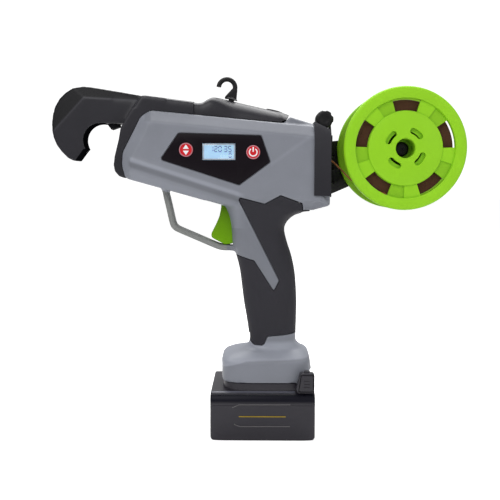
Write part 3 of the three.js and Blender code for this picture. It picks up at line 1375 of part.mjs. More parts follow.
// Reel
const wheel = new THREE.Group();
wheel.position.set(reelCentre[0], 0, reelCentre[1]);
wheel.add(
  part("wire_spool", spoolForm(), green), part("wire_winding", windingForm(), rollBrown),
  part("axle_cap", axleCapForm(), black),
);
tool.add(wheel);

// Battery pack
const pack = new THREE.Group();
pack.add(
  part("battery_case", batteryCase(), packBlack), part("battery_lid", batteryLid(), packBlack),
  part("cell_board", cellBoardForm(), boardGreen),
);
for (let i = 0; i < cell.count; i++) pack.add(part("battery_cell_" + (i + 1), cellForm(i), steel));
pack.add(part("release_button_left", releaseButton(-1), black), part("release_button_right",
  releaseButton(1), black));
tool.add(pack);

export default tool;
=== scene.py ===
"""A cordless tool that ties vines to their wires: the looks of its pieces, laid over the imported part."""

import math

import bmesh
import bpy
from bpy.props import FloatProperty, FloatVectorProperty, IntProperty, PointerProperty
from mathutils import Matrix, Vector


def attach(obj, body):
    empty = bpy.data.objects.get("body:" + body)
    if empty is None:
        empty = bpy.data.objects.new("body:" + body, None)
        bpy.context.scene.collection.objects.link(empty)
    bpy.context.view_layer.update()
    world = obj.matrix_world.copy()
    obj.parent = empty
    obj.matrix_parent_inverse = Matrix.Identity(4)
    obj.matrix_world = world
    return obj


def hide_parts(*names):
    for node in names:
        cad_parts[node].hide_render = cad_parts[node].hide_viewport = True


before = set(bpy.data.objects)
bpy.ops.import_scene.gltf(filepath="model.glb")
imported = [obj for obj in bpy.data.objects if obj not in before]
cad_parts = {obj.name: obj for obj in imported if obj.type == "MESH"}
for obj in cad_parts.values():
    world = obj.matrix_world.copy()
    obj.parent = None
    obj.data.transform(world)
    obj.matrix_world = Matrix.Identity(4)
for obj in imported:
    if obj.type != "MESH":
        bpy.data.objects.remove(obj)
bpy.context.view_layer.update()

bl_info = {
    "name": "Vine tying tool",
    "version": (1, 0, 0),
    "blender": (4, 5, 0),
    "location": "View3D > Sidebar > Vine tool",
    "description": "Dresses the packed vine tying tool, a group of pieces at a time",
    "category": "Object",
}

# Sizes are in millimetres up to the moment when a point is made. REACH lies beyond the tool on both sides,
# and a corner whose rounding would start closer than LEAST_BEVEL stays sharp.
MM = 0.001
REACH = 60.0
WIDE = (-REACH, REACH)
LEAST_BEVEL = 0.05
SIDES = ((-1, "left"), (1, "right"))

# Outlines in the side view, in millimetres: along the tool, up, and the corner's radius.
HEAD = ((-110.6, 210.3, 5), (-30.0, 188.0, 4), (33.9, 183.2, 5), (54.0, 188.6, 2), (54.0, 250.5, 3),
        (-89.9, 264.4, 5), (-97.6, 259.5, 7), (-112.5, 231.0, 8), (-113.3, 221.0, 8))
ROOF = ((13.0, 215.9, 0), (54.0, 215.9, 0), (54.0, 249.2, 2), (40.8, 253.7, 3), (21.7, 259.5, 1),
        (18.8, 256.6, 1), (13.0, 253.4, 1))

# Rings of the grip and the foot: height, front, rear, half width and, for the foot, squareness.
GRIP_ROWS = ((72.0, -10.3, 27.8, 15.8), (92.0, -13.0, 28.2, 16.6), (108.0, -15.7, 28.4, 17.5),
             (122.0, -17.4, 27.8, 17.9), (134.6, -19.0, 26.5, 18.2), (147.0, -22.0, 23.8, 18.6),
             (156.5, -25.5, 20.7, 19.1), (165.0, -26.0, 18.4, 19.8), (170.5, -26.4, 18.1, 20.3),
             (175.0, -27.0, 20.3, 20.9), (178.5, -27.8, 23.8, 21.5), (181.0, -28.6, 28.0, 22.0),
             (183.0, -29.6, 33.2, 22.4), (192.0, -33.0, 38.7, 23.5))
FOOT_ROWS = ((45.0, -33.6, 41.7, 29.6, 5.0), (61.8, -33.9, 39.3, 29.9, 4.8))
SHOULDER_ROWS = ((61.8, -33.9, 39.3, 29.9, 4.8), (64.8, -31.6, 38.6, 26.0, 4.0),
                 (67.2, -27.2, 37.4, 21.8, 3.4), (68.8, -20.6, 35.6, 18.6, 3.0),
                 (69.7, -14.0, 32.8, 16.8, 2.7), (73.2, -11.2, 29.0, 15.9, 2.6))

# More outlines in the side view, as above, and plain lines without radii.
RUBBER = ((-46.0, 147.6, 0), (-21.6, 147.4, 0), (-7.2, 143.4, 1), (-5.3, 141.1, 1), (9.1, 118.0, 1.5),
          (13.8, 127.3, 2), (-18.9, 193.0, 0.6), (-18.1, 194.6, 0.6), (1.5, 189.6, 0.8),
          (14.2, 196.4, 0.8), (31.0, 190.2, 0.5), (31.8, 184.4, 0.5), (60.0, 184.4, 0), (60.0, 83.0, 0),
          (27.4, 83.0, 0), (5.1, 81.2, 1), (3.3, 80.2, 1), (1.2, 74.7, 1), (-0.6, 73.4, 1),
          (-7.0, 73.4, 1), (-10.4, 75.8, 0.5), (-10.8, 82.0, 0.5), (-46.0, 82.0, 0))
HOOK = ((-132.9, 241.4, 0), (-132.9, 254.9, 0), (-122.0, 254.8, 0), (-104.0, 254.2, 0),
        (-97.1, 276.9, 0), (-116.3, 280.4, 0), (-140.7, 284.5, 0), (-146.8, 285.0, 0),
        (-155.0, 283.5, 0), (-161.2, 280.0, 0), (-166.4, 275.0, 0), (-170.2, 268.0, 0),
        (-171.8, 260.9, 0), (-172.1, 255.9, 0), (-171.9, 249.8, 0), (-170.8, 243.7, 0),
        (-168.4, 237.6, 0), (-164.4, 232.1, 0), (-159.4, 227.0, 0), (-155.3, 224.9, 1),
        (-152.4, 224.4, 0.8), (-145.4, 233.6, 0.6))
FRAME = ((-50.1, 246.7, 0), (-50.1, 270.9, 0), (-97.1, 276.9, 2), (-101.9, 270.0, 3),
         (-114.0, 251.0, 3), (-115.8, 241.3, 3), (-119.2, 228.3, 3), (-120.2, 221.2, 3),
         (-119.3, 216.0, 3), (-115.8, 212.0, 3), (-111.0, 210.4, 0.5), (-99.9, 214.3, 0),
         (-88.2, 246.7, 0))
HOOD = ((-55.4, 240.2, 0), (-55.4, 282.0, 0), (21.8, 282.0, 0), (21.0, 260.6, 0.6), (18.4, 257.3, 1),
        (12.5, 254.6, 3), (3.8, 240.2, 0))
HOOD_TOP = ((-56.0, 271.5), (-52.0, 271.1), (-48.4, 271.7), (-44.6, 274.1), (-41.4, 275.6),
            (-37.0, 275.6), (-28.7, 274.0), (2.7, 266.8), (14.9, 264.0), (21.8, 261.6))
RIDGE = ((-105.6, 224.9), (-103.0, 224.8), (-99.0, 223.5), (-20.2, 198.2))
GUARD_LINE = ((-84.0, 212.0), (-80.6, 200.0), (-77.6, 187.0), (-74.6, 173.6), (-72.6, 170.2),
              (-69.4, 168.2), (-55.0, 162.0), (-38.2, 154.8), (-32.6, 153.4), (-26.4, 153.2),
              (-18.0, 152.4))
GUARD_ZONE = ((-96.0, 199.0), (-84.6, 201.0), (-76.4, 198.4), (-69.0, 196.4), (-34.0, 187.0),
              (-30.0, 158.0), (-29.2, 148.0), (-60.0, 140.0), (-96.0, 170.0))
TRIGGER = ((-34.3, 190.0, 1), (-34.3, 186.6, 1), (-35.8, 179.2, 3), (-38.5, 173.0, 3),
           (-42.6, 165.0, 2), (-42.5, 161.8, 1.6), (-31.8, 156.0, 1), (-28.2, 156.1, 1),
           (-18.1, 158.4, 1), (-18.1, 186.0, 1), (-22.0, 194.8, 2), (-30.8, 194.8, 2))
PANEL = ((-66.6, 245.8, 1.6), (-1.5, 243.8, 1.6), (5.7, 223.3, 1.6), (-18.8, 205.3, 1.6),
         (-81.0, 225.3, 1.6))
BRACKET = ((40.6, 196.7, 0.3), (53.8, 196.4, 0.8), (53.8, 248.4, 1), (48.7, 251.3, 1),
           (40.6, 255.5, 0.5))

# The strand's way from the winding to the jaw: along the tool, across it and up.
STRAND = ((98.2, -19.6, 198.0), (97.0, -19.7, 198.5), (87.9, -16.0, 201.8), (78.5, -11.2, 205.5),
          (72.3, -7.9, 209.2), (68.6, -5.6, 212.8), (65.4, -3.6, 216.5), (62.1, -2.1, 219.7),
          (59.1, -0.9, 222.9), (55.9, -0.1, 225.2), (52.7, 0.0, 225.6), (46.0, 0.0, 225.54),
          (30.0, 0.0, 225.54), (20.5, 0.0, 225.54), (12.9, 0.0, 225.8), (4.8, 0.0, 227.8),
          (-4.8, 0.0, 233.8), (-14.3, 0.0, 240.1), (-23.9, 0.0, 246.2), (-33.3, 0.0, 250.6),
          (-43.0, 0.0, 254.0), (-54.5, 0.0, 256.9), (-65.6, 0.0, 258.7), (-75.1, 0.0, 259.0),
          (-94.2, 0.0, 259.0), (-112.0, 0.0, 259.0))

# Lines on the pack, places of the screws and figures of the display with their left end, foot and height.
CONTOURS = (((-24.4, 27.2), (-19.1, 29.6), (22.2, 29.8)), ((-22.9, 13.6), (-18.4, 11.7), (21.9, 11.9)))
SCREWS = ((-96.6, 213.5), (-86.9, 249.1), (8.0, 246.7), (33.9, 195.0), (6.2, 111.0), (26.7, 62.5))
DIGITS = (("1", -41.6, 231.3, 4.2), ("2", -38.3, 231.3, 4.2), ("0", -35.0, 231.3, 4.2),
          ("3", -30.6, 231.3, 4.2), ("5", -27.3, 231.3, 4.2), ("0", -26.9, 226.8, 3.4))

# Places in the side view that several pieces share, and the heights of the twister and of the wire.
ADJUST = (-60.8, 232.8)
POWER = (-7.7, 230.9)
SPOOL_AT = (112.5, 233.9)
JAW_AT = (-132.9, 241.4)
JAW_RADIUS = 13.8
FOLD_AT = (-145.1, 275.6)
KNOB_AT = (49.985, 258.02)
TRIGGER_PIN = (-27.016, 190.952)
HANGER_AT = (-25.8, 274.46)
HOOD_TILT = math.radians(13.293)
TWISTER_UP = 236.96
WIRE_UP = 225.54

# Lines of the side view that the painted light and shade follow, in metres: the parts of x and z, and the
# offset.
# The first one carries a painted highlight along a shallow crease across the rear of the side plate.
CREASE_LINE = (0.58, -0.815, 0.1766)
PLATE_EDGE = (-0.3049, -0.9524, 0.1826)
PLATE_TOP = (-0.0961, -0.9953, 0.25452)
FOOT_FRONT = (-0.289, 1.0, -0.06654)
FOOT_REAR = (-0.0288, 1.0, -0.06308)
JAW_LIP = (0.7958, -0.6055, 0.25716)


# Sizes and colours that a user would change

def length(name, text, value):
    return FloatProperty(name=name, description=text, default=value * MM, min=0.0, unit="LENGTH",
                         subtype="DISTANCE", precision=5)


def count(name, text, value):
    return IntProperty(name=name, description=text, default=value, min=1)


def colour(name, text, value):
    return FloatVectorProperty(name=name, description=text, default=value, min=0.0, max=1.0, size=3,
                               subtype="COLOR")


class BodySizes(bpy.types.PropertyGroup):
    head_half: length("Head half width", "Half of the head's width", 27.0)
    head_chamfer: length("Head slope", "Width of the slope round the head's side plates", 9.3)
    head_drop: length("Head slope depth", "How far that slope falls back", 7.0)
    roof_half: length("Roof half width", "Half of the width of the raised part behind the hood", 16.0)
    grip_square: FloatProperty(name="Grip squareness", default=2.6,
                               description="How square the grip's section is")
    seam: length("Seam", "Gap between the two shells", 0.06)
    fine: length("Fineness", "Size of the mesh on the soft body", 1.05)
    rubber: length("Rubber thickness", "Thickness of the soft sleeve", 2.0)
    groove: length("Groove", "Gap round the soft sleeve", 0.35)


class NoseSizes(bpy.types.PropertyGroup):
    hook_half: length("Hook half width", "Half of the hook's thickness", 9.4)
    frame_half: length("Frame half width", "Half of the width of the frame round the head", 19.0)
    fine: length("Fineness", "Size of the mesh on the nose", 0.8)
    groove: length("Wire groove", "Half of the width of the groove in the jaw", 1.1)


class ReelSizes(bpy.types.PropertyGroup):
    radius: length("Spool radius", "Radius of the spool's flanges", 48.7)
    half: length("Spool half width", "Half of the spool's width", 26.4)
    winding: length("Winding radius", "Radius of the wound wire", 38.5)
    winding_half: length("Winding half width", "Half of the width of the wound wire", 20.2)
    loops: count("Loops", "Loops of wire in the outer layer", 45)
    windows: count("Windows", "Windows in each flange", 5)


class PackSizes(bpy.types.PropertyGroup):
    top_round: length("Top rounding", "Radius along the pack's top edge", 8.0)
    foot_round: length("Foot rounding", "Radius along the pack's bottom edge", 3.0)


class Colours(bpy.types.PropertyGroup):
    housing: colour("Housing", "Grey plastic of the body", (0.190, 0.200, 0.232))
    guard: colour("Guard", "Grey plastic of the guard", (0.212, 0.218, 0.212))
    rubber: colour("Rubber", "Soft sleeve of the grip", (0.022, 0.021, 0.027))
    nose: colour("Nose", "Dark plastic of the nose and the hood", (0.0115, 0.0108, 0.0155))
    black: colour("Black", "Black plastic of the arm and the knob", (0.005, 0.0045, 0.0055))
    panel: colour("Panel", "Glossy plate of the control panel", (0.005, 0.003, 0.005))
    button: colour("Button", "Red of the buttons", (0.55, 0.012, 0.02))
    trigger: colour("Trigger", "Green of the trigger", (0.085, 0.20, 0.001))
    spool: colour("Spool", "Green of the spool", (0.268, 0.585, 0.016))
    wire: colour("Wire", "Brown paper of the tying wire", (0.06, 0.022, 0.010))
    pack: colour("Pack", "Dark plastic of the battery", (0.022, 0.020, 0.027))
    display: colour("Display", "Pale blue of the lit display", (0.47, 0.70, 0.95))
    backdrop: colour("Backdrop", "Floor", (0.80, 0.80, 0.80))


def sizes(name):
    """The property group of that name."""
    return getattr(bpy.context.scene, "vine_" + name)


def mm(value):
    """A property's length in millimetres, as the outlines have it."""
    return value / MM


# Shader maths

class Field:
    """A socket that takes part in sums written as Python expressions."""

    def __init__(self, look, socket):
        self.look = look
        self.socket = socket

    def math(self, operation, first, second=None):
        values = {0: first} if second is None else {0: first, 1: second}
        return self.look.node("ShaderNodeMath", {"operation": operation}, values)[0]

    def __add__(self, other):
        return self.math("ADD", self, other)

    __radd__ = __add__

    def __sub__(self, other):
        return self.math("SUBTRACT", self, other)

    def __rsub__(self, other):
        return self.math("SUBTRACT", other, self)

    def __mul__(self, other):
        return self.math("MULTIPLY", self, other)

    __rmul__ = __mul__

    def above(self, limit):
        """One where it is more than the limit."""
        return self.math("GREATER_THAN", self, limit)

    def below(self, limit):
        """One where it is less than the limit."""
        return self.math("LESS_THAN", self, limit)

    def size(self):
        return self.math("ABSOLUTE", self)

    def more(self, other):
        return self.math("MAXIMUM", self, other)

    def held(self):
        """Kept between nought and one."""
        return self.math("MINIMUM", self.math("MAXIMUM", self, 0.0), 1.0)


class Look:
    """A material whose nodes are added one expression at a time."""

    def __init__(self, name, **fixed):
        self.material = bpy.data.materials.new(name)
        self.material.use_nodes = True
        self.tree = self.material.node_tree
        self.tree.nodes.clear()
        self.shader = self.tree.nodes.new("ShaderNodeBsdfPrincipled")
        self.output = self.tree.nodes.new("ShaderNodeOutputMaterial")
        self.tree.links.new(self.shader.outputs["BSDF"], self.output.inputs["Surface"])
        for socket, value in fixed.items():
            self.feed(socket.replace("_", " ").title().replace("Ior", "IOR"), value)

    def put(self, socket, value):
        if isinstance(value, Field):
            self.tree.links.new(value.socket, socket)
        elif socket.type == "RGBA" and len(value) == 3:
            socket.default_value = (*value, 1.0)
        else:
            socket.default_value = value

    def feed(self, socket, value):
        self.put(self.shader.inputs[socket], value)

    def node(self, kind, settings=None, values=None):
        node = self.tree.nodes.new(kind)
        for key, value in (settings or {}).items():
            if key == "stops":
                self.set_stops(node.color_ramp, value)
            else:
                setattr(node, key, value)
        for socket, value in (values or {}).items():
            self.put(node.inputs[socket], value)
        return {key: Field(self, out) for i, out in enumerate(node.outputs) for key in (i, out.name)}

    @staticmethod
    def set_stops(ramp, stops):
        while len(ramp.elements) < len(stops):
            ramp.elements.new(1.0)
        for element, (place, shade) in zip(ramp.elements, stops):
            element.position = place
            element.color = (*shade, 1.0)

    def place(self):
        return self.node("ShaderNodeTexCoord")["Object"]

    def axes(self):
        parts = self.node("ShaderNodeSeparateXYZ", None, {0: self.place()})
        return parts[0], parts[1], parts[2]

    def noise(self, scale, detail=3.0, roughness=0.5):
        return self.node("ShaderNodeTexNoise", None, {
            "Vector": self.place(), "Scale": scale, "Detail": detail, "Roughness": roughness})["Fac"]

    def ramp(self, value, *stops):
        """A grey level that follows the stops, given as place and level."""
        grey = [(place, (level, level, level)) for place, level in stops]
        return self.node("ShaderNodeValToRGB", {"stops": grey}, {"Fac": value})["Color"]

    def mix(self, factor, first, second, blend="MIX"):
        return self.node("ShaderNodeMix", {"data_type": "RGBA", "blend_type": blend}, {
            0: factor, 6: first, 7: second})[2]

    def bump(self, height, distance, strength=1.0):
        normal = self.node("ShaderNodeBump", None, {
            "Height": height, "Distance": distance, "Strength": strength})["Normal"]
        self.feed("Normal", normal)


def lighter(shade, factor):
    return tuple(min(1.0, channel * factor) for channel in shade)


def painted_dull_shade(look, amount, shade):
    """Painted shade: a plain dull colour without any gloss in place of the surface where the amount is one.
    """
    plain = look.node("ShaderNodeBsdfDiffuse", None, {"Color": shade})["BSDF"]
    both = look.node("ShaderNodeMixShader", None, {
        0: amount, 1: Field(look, look.shader.outputs["BSDF"]), 2: plain})
    look.tree.links.new(both[0].socket, look.output.inputs["Surface"])


def toned(look, tone, *parts):
    """The tone made darker or lighter by each part's factor, where that part is one."""
    for part, factor in parts:
        tone = look.mix(part, tone, (factor, factor, factor), "MULTIPLY")
    return tone


def beyond(axes, line):
    """How far a point lies beyond a line of the side view, in metres."""
    x, _, z = axes
    return x * line[0] + z * line[1] + line[2]


def close(distance, strength, fade):
    """The strength on the line itself, less the fade for each metre away from it."""
    return (strength - distance.size() * fade).held()


def past(distance, start, rise):
    """Nought up to the start, and more by the rise for each metre past it."""
    return ((distance - start) * rise).held()


def jaw_wall(axes):
    """One on the walls of the jaw's mouth and of its lip, where shade is painted."""
    x, y, z = axes
    wide, high = x - JAW_AT[0] * MM, z - JAW_AT[1] * MM
    round_wall = (wide * wide + high * high).below(0.0145 ** 2) * y.size().below(0.0090)
    lip = beyond(axes, JAW_LIP).size().below(0.0012) * z.below(0.2345) * x.above(-0.1535)
    return round_wall.more(lip)


def moulded(name, shade, rough=0.45, grain=0.00004, grain_scale=2600, spread=0.12, gloss=0.5, painted_light=None):
    """Moulded plastic: a fine spark-eroded grain, a little mottling and faint scuffs, with painted light
    and shade where a maker of them is given.
    """
    look = Look(name, specular_ior_level=gloss)
    broad = look.noise(38, 3)
    scuffs = look.ramp(look.noise(420, 6, 0.7), (0.60, 0), (0.74, 1))
    tone = look.mix(broad, lighter(shade, 1 - spread), lighter(shade, 1 + spread))
    tone = look.mix(scuffs * 0.14, tone, lighter(shade, 1.8))
    # Painted light and shade from the given maker go into the tone here.
    look.feed("Base Color", painted_light(look, tone) if painted_light else tone)
    look.feed("Roughness", broad * 0.10 + (rough - 0.05) + scuffs * 0.08)
    look.bump(look.noise(grain_scale, 2), grain, 0.6)
    return look.material


def body_painted_light(look, tone):
    """Painted light and shade that go with the body's soft folds: a painted highlight along the crease
    across the rear of the side plate, a painted highlight on the ridge along its lower edge with painted
    shade in the hollow under it and painted light on the face below that, painted shade on the slope along
    the top and on the grey blade of the grip, and a painted highlight on the shoulder of the foot."""
    axes = look.axes()
    x, _, z = axes
    crease_highlight = close(beyond(axes, CREASE_LINE), 1, 420) * x.above(0.006)
    below = beyond(axes, PLATE_EDGE)
    plate = past(x, -0.014, -160) * past(x, -0.1075, 400) * z.above(0.17)
    ridge = close(below, 1.35, 560) * plate
    hollow = close(below - 0.0040, 1.5, 520) * plate
    under = past(below, 0.0062, 260) * plate
    top = past(beyond(axes, PLATE_TOP), 0.0098, -900) * x.above(-0.094)
    blade = past(z, 0.191, -150) * past(z, 0.09, 200) * x.above(-0.032)
    shoulder = beyond(axes, FOOT_FRONT).more(beyond(axes, FOOT_REAR))
    foot = (shoulder * 900 + 0.5).held() * past(z, 0.0775, -300) * z.below(0.09)
    return toned(look, tone, (crease_highlight, 1.12), (ridge, 1.36), (hollow, 0.74), (under, 1.22), (top, 0.84),
                 (blade, 0.83), (foot, 1.47))


def nose_painted_light(look, tone):
    """Painted shade on the walls of the jaw, a plain dull near-black without gloss, and painted shade on
    the slopes outside the hook's folds, half dull, with a painted highlight along them.
    """
    axes = look.axes()
    x, _, z = axes
    ahead, up = x - FOLD_AT[0] * MM, z - FOLD_AT[1] * MM
    over = up + ahead * 0.057
    beside = up * 0.688 - ahead * 0.726
    outside = over.more(beside)
    hook = x.below(-0.0985)
    slope = (outside * 700 + 0.2).held() * hook
    ridge = close(outside - 0.0006, 1, 700) * hook
    painted_dull_shade(look, jaw_wall(axes).more(slope * 0.5), (0.003, 0.003, 0.004))
    return toned(look, tone, (slope, 0.30), (ridge, 2.2))


def pack_painted_light(look, tone):
    """The pack's rounded upper edge: a painted dark reflection below, dull and near black, with a painted
    highlight line above it.
    """
    x, y, z = look.axes()
    band = close(z - 0.0345, 1.8, 420) * z.below(0.0385)
    line = close(z - 0.0396, 1.7, 900) * y.size().above(0.0308) * x.below(0.0262)
    painted_dull_shade(look, band * 0.75, (0.006, 0.006, 0.012))
    # The pale colour here is the painted highlight line.
    return look.mix(line, toned(look, tone, (band, 0.25)), (0.115, 0.118, 0.150))


def trigger_painted_light(look, tone):
    """Painted light: lighter green towards the trigger's tip."""
    z = look.axes()[2]
    return toned(look, tone, (past(z, 0.190, -30), 1.55))


def spool_painted_shade(look, tone):
    """Painted shade: darker green away from the near face, in two steps, first on the lower halves of the
    spokes and then on all that lies behind the near face.
    """
    y = look.axes()[1]
    spoke = past(y, -0.0240, 3000) * y.below(-0.0228)
    return toned(look, tone, (spoke, 0.84), (past(y, -0.0226, 300), 0.76))


def rubbery(name, shade):
    """Soft dull rubber with fine pores."""
    look = Look(name, specular_ior_level=0.25)
    broad = look.noise(45, 3)
    pores = look.node("ShaderNodeTexVoronoi", None, {"Vector": look.place(), "Scale": 1300})["Distance"]
    look.feed("Base Color", look.mix(broad, lighter(shade, 0.86), lighter(shade, 1.2)))
    look.feed("Roughness", broad * 0.12 + 0.60)
    look.bump(pores + look.noise(3800, 2) * 0.4, 0.00007, 0.7)
    return look.material


def brushed(name, shade, rough=0.3):
    """Bare metal with fine streaks."""
    look = Look(name, metallic=1.0)
    streaks = look.noise(900, 4, 0.6)
    broad = look.noise(70, 2)
    look.feed("Base Color", look.mix(broad, lighter(shade, 0.8), lighter(shade, 1.15)))
    look.feed("Roughness", streaks * 0.2 + (rough - 0.08))
    look.bump(streaks, 0.00002, 0.5)
    return look.material


def glossy(name, shade, rough, gloss=0.5):
    """A smooth face with faint smears."""
    look = Look(name, specular_ior_level=gloss)
    smears = look.noise(60, 5, 0.65)
    look.feed("Base Color", look.mix(smears, lighter(shade, 0.85), lighter(shade, 1.3)))
    look.feed("Roughness", smears * 0.14 + (rough - 0.04))
    look.bump(look.noise(140, 2), 0.00002, 0.2)
    return look.material


def papered(name, shade):
    """Paper-covered wire, with the fibre's fine mottling."""
    look = Look(name, specular_ior_level=0.3)
    fibre = look.noise(1800, 5, 0.65)
    broad = look.noise(120, 3)
    tone = look.mix(fibre, lighter(shade, 0.55), lighter(shade, 1.6))
    look.feed("Base Color", look.mix(broad * 0.5, tone, lighter(shade, 1.9)))
    look.feed("Roughness", fibre * 0.15 + 0.66)
    look.bump(fibre, 0.00008, 0.6)
    return look.material


def laminate(name, shade):
    """A circuit board with a grid of tracks."""
    look = Look(name, coat_weight=0.3)
    tracks = look.node("ShaderNodeTexBrick", None, {
        "Vector": look.place(), "Scale": 160.0, "Mortar Size": 0.03, "Color1": (0, 0, 0),
        "Color2": (0, 0, 0), "Mortar": (1, 1, 1)})["Color"]
    look.feed("Base Color", look.mix(tracks, shade, (0.10, 0.28, 0.08)))
    look.feed("Roughness", look.noise(90) * 0.2 + 0.3)
    return look.material


def clear_window(name):
    """Clear plastic with a faint unevenness in its gloss."""
    look = Look(name, transmission_weight=1.0, ior=1.45)
    look.feed("Base Color", (0.92, 0.97, 1.0))
    look.feed("Roughness", look.noise(60) * 0.04)
    return look.material


def lit_display(name, shade):
    """A display that glows from behind, a little unevenly."""
    look = Look(name, emission_strength=0.35)
    glow = look.noise(25, 2)
    tone = look.mix(glow, lighter(shade, 0.95), lighter(shade, 1.1))
    look.feed("Base Color", tone)
    look.feed("Emission Color", tone)
    look.feed("Roughness", glow * 0.1 + 0.2)
    return look.material


LOOKS = {}


def material(name):
    """The finish of that name, made once."""
    if name not in LOOKS:
        LOOKS[name] = make_look(name)
    return LOOKS[name]


def make_look(name):
    """A finish, in a colour of the panel's or in its own."""
    c = sizes("colours")
    makers = {
        "housing_plastic": lambda: moulded(name, c.housing, 0.42, gloss=0.4, painted_light=body_painted_light),
        "guard_plastic": lambda: moulded(name, c.guard, 0.5, gloss=0.2),
        "grip_rubber": lambda: rubbery(name, c.rubber),
        "nose_plastic": lambda: moulded(name, c.nose, 0.36, spread=0.18, gloss=0.35, painted_light=nose_painted_light),
        "black_plastic": lambda: moulded(name, c.black, 0.38, spread=0.2, gloss=0.25),
        "panel_gloss": lambda: glossy(name, c.panel, 0.3, 0.1),
        "window_clear": lambda: clear_window(name),
        "lcd": lambda: lit_display(name, c.display),
        "board_laminate": lambda: laminate(name, (0.013, 0.10, 0.04)),
        "button_red": lambda: moulded(name, c.button, 0.35, spread=0.08, gloss=0.2),
        "trigger_green": lambda: moulded(name, c.trigger, 0.45, spread=0.1, gloss=0.12,
                                         painted_light=trigger_painted_light),
        "spool_green": lambda: moulded(name, c.spool, 0.4, grain=0.00002, spread=0.06, gloss=0.15,
                                       painted_light=spool_painted_shade),
        "wire_paper": lambda: papered(name, c.wire),
        "pack_plastic": lambda: moulded(name, c.pack, 0.34, spread=0.15, gloss=0.4, painted_light=pack_painted_light),
        "steel": lambda: brushed(name, (0.5, 0.5, 0.52)),
        "motor_steel": lambda: brushed(name, (0.42, 0.42, 0.44), 0.4),
        "dark_steel": lambda: moulded(name, (0.008, 0.008, 0.010), 0.6, gloss=0.05),
        "brass": lambda: brushed(name, (0.6, 0.42, 0.16), 0.28),
        "cell_can": lambda: glossy(name, (0.2, 0.35, 0.5), 0.3),
        "mark_white": lambda: moulded(name, (0.8, 0.8, 0.82), 0.4, spread=0.03),
        # The pale grey of the pack's raised lines is a painted highlight along them.
        "mark_grey": lambda: moulded(name, (0.10, 0.095, 0.10), 0.4),
        "mark_ring": lambda: moulded(name, (0.52, 0.22, 0.26), 0.4, spread=0.05),
        "yellow_line": lambda: moulded(name, (0.32, 0.22, 0.012), 0.5, gloss=0.2),
        "strand_paper": lambda: papered(name, (0.20, 0.075, 0.022)),
        "lcd_digit": lambda: moulded(name, (0.06, 0.10, 0.26), 0.5, spread=0.05, gloss=0.1),
    }
    return makers[name]()


# Shaping

def at(x, y, z):
    """A place given in millimetres."""
    return Vector((x * MM, y * MM, z * MM))


def new_shape():
    return bmesh.new()


def between(low, high):
    return low + (high - low) / 2


def turn_width(before, here, after, radius):
    """How far a corner's rounding starts from the corner."""
    first = Vector(before[:2]) - Vector(here[:2])
    second = Vector(after[:2]) - Vector(here[:2])
    bend = math.pi - first.angle(second)
    return radius * math.tan(bend / 2)


def squared(value, power):
    """A part of a circle's point, drawn out so that the circle gets squarer."""
    return math.copysign(abs(value) ** power, value)


def soften(bm, edges, width, segments=3):
    """Bevels the edges by a width in millimetres."""
    if edges:
        bmesh.ops.bevel(bm, geom=list(edges), offset=width * MM, offset_type="OFFSET", segments=segments,
                        profile=0.5, affect="EDGES", material=-1, clamp_overlap=True)


def prism(outline, low, high, arcs=4):
    """A plate: the outline drawn out across the tool, with its upright corners rounded."""
    bm = new_shape()
    verts = [bm.verts.new(at(p[0], low, p[1])) for p in outline]
    face = bm.faces.new(verts)
    drawn = bmesh.ops.extrude_face_region(bm, geom=[face])["geom"]
    bmesh.ops.translate(bm, verts=[v for v in drawn if isinstance(v, bmesh.types.BMVert)],
                        vec=at(0, high - low, 0))
    bmesh.ops.recalc_face_normals(bm, faces=bm.faces)
    round_corners(bm, verts, outline, arcs)
    return bm


def round_corners(bm, verts, outline, arcs):
    """Rounds each upright corner whose point gives a radius."""
    for i, vert in enumerate(verts):
        radius = outline[i][2] if len(outline[i]) > 2 else 0
        if not radius:
            continue
        upright = [e for e in vert.link_edges
                   if abs((e.verts[0].co - e.verts[1].co).normalized().y) > 0.99]
        width = turn_width(outline[i - 1], outline[i], outline[(i + 1) % len(outline)], radius)
        if width > LEAST_BEVEL:
            soften(bm, upright, width, arcs)


def sharp_edges(bm, least):
    """The edges whose faces meet at more than the least angle."""
    return [e for e in bm.edges if len(e.link_faces) == 2 and e.calc_face_angle(0) > least]


def rim_edges(bm, plane):
    """The sharp edges that lie in a plane across the tool, at y millimetres."""
    return [e for e in sharp_edges(bm, 0.5) if all(abs(v.co.y - plane * MM) < 1e-6 for v in e.verts)]


def plate(outline, low, high, rim=0.0, segments=3, arcs=4):
    """A plate whose two faces have softened rims."""
    bm = prism(outline, low, high, arcs)
    if rim:
        soften(bm, rim_edges(bm, low) + rim_edges(bm, high), rim, segments)
    return bm


def turned(profile, centre, steps=96, closed=True):
    """A turned piece: points as radius and place along the axis, spun round a line across the tool.
    A profile that isn't closed ends on the axis, and its poles are closed with fans."""
    bm = new_shape()
    x, z = centre
    verts = [bm.verts.new(at(x + r, y, z)) for r, y in profile]
    ahead = verts[1:] + verts[:1] if closed else verts[1:]
    edges = [bm.edges.new(pair) for pair in zip(verts, ahead)]
    bmesh.ops.spin(bm, geom=verts + edges, cent=at(x, 0, z), axis=Vector((0, 1, 0)), angle=math.tau,
                   steps=steps, use_merge=True, use_duplicate=False)
    bmesh.ops.remove_doubles(bm, verts=bm.verts, dist=1e-6)
    if not closed:
        bmesh.ops.holes_fill(bm, edges=bm.edges, sides=0)
    bmesh.ops.recalc_face_normals(bm, faces=bm.faces)
    return bm


def disc_solid(profile, centre, steps=96):
    """A turned piece that reaches its own axis."""
    return turned(profile, centre, steps, False)


def pin(centre, radius, low, high, steps=48):
    """A plain round bar across the tool, for cutting."""
    return disc_solid([(0, low), (radius, low), (radius, high), (0, high)], centre, steps)


def across(side, near, far):
    """The two ends of a piece on one side of the middle, the lower one first."""
    return sorted((side * near, side * far))


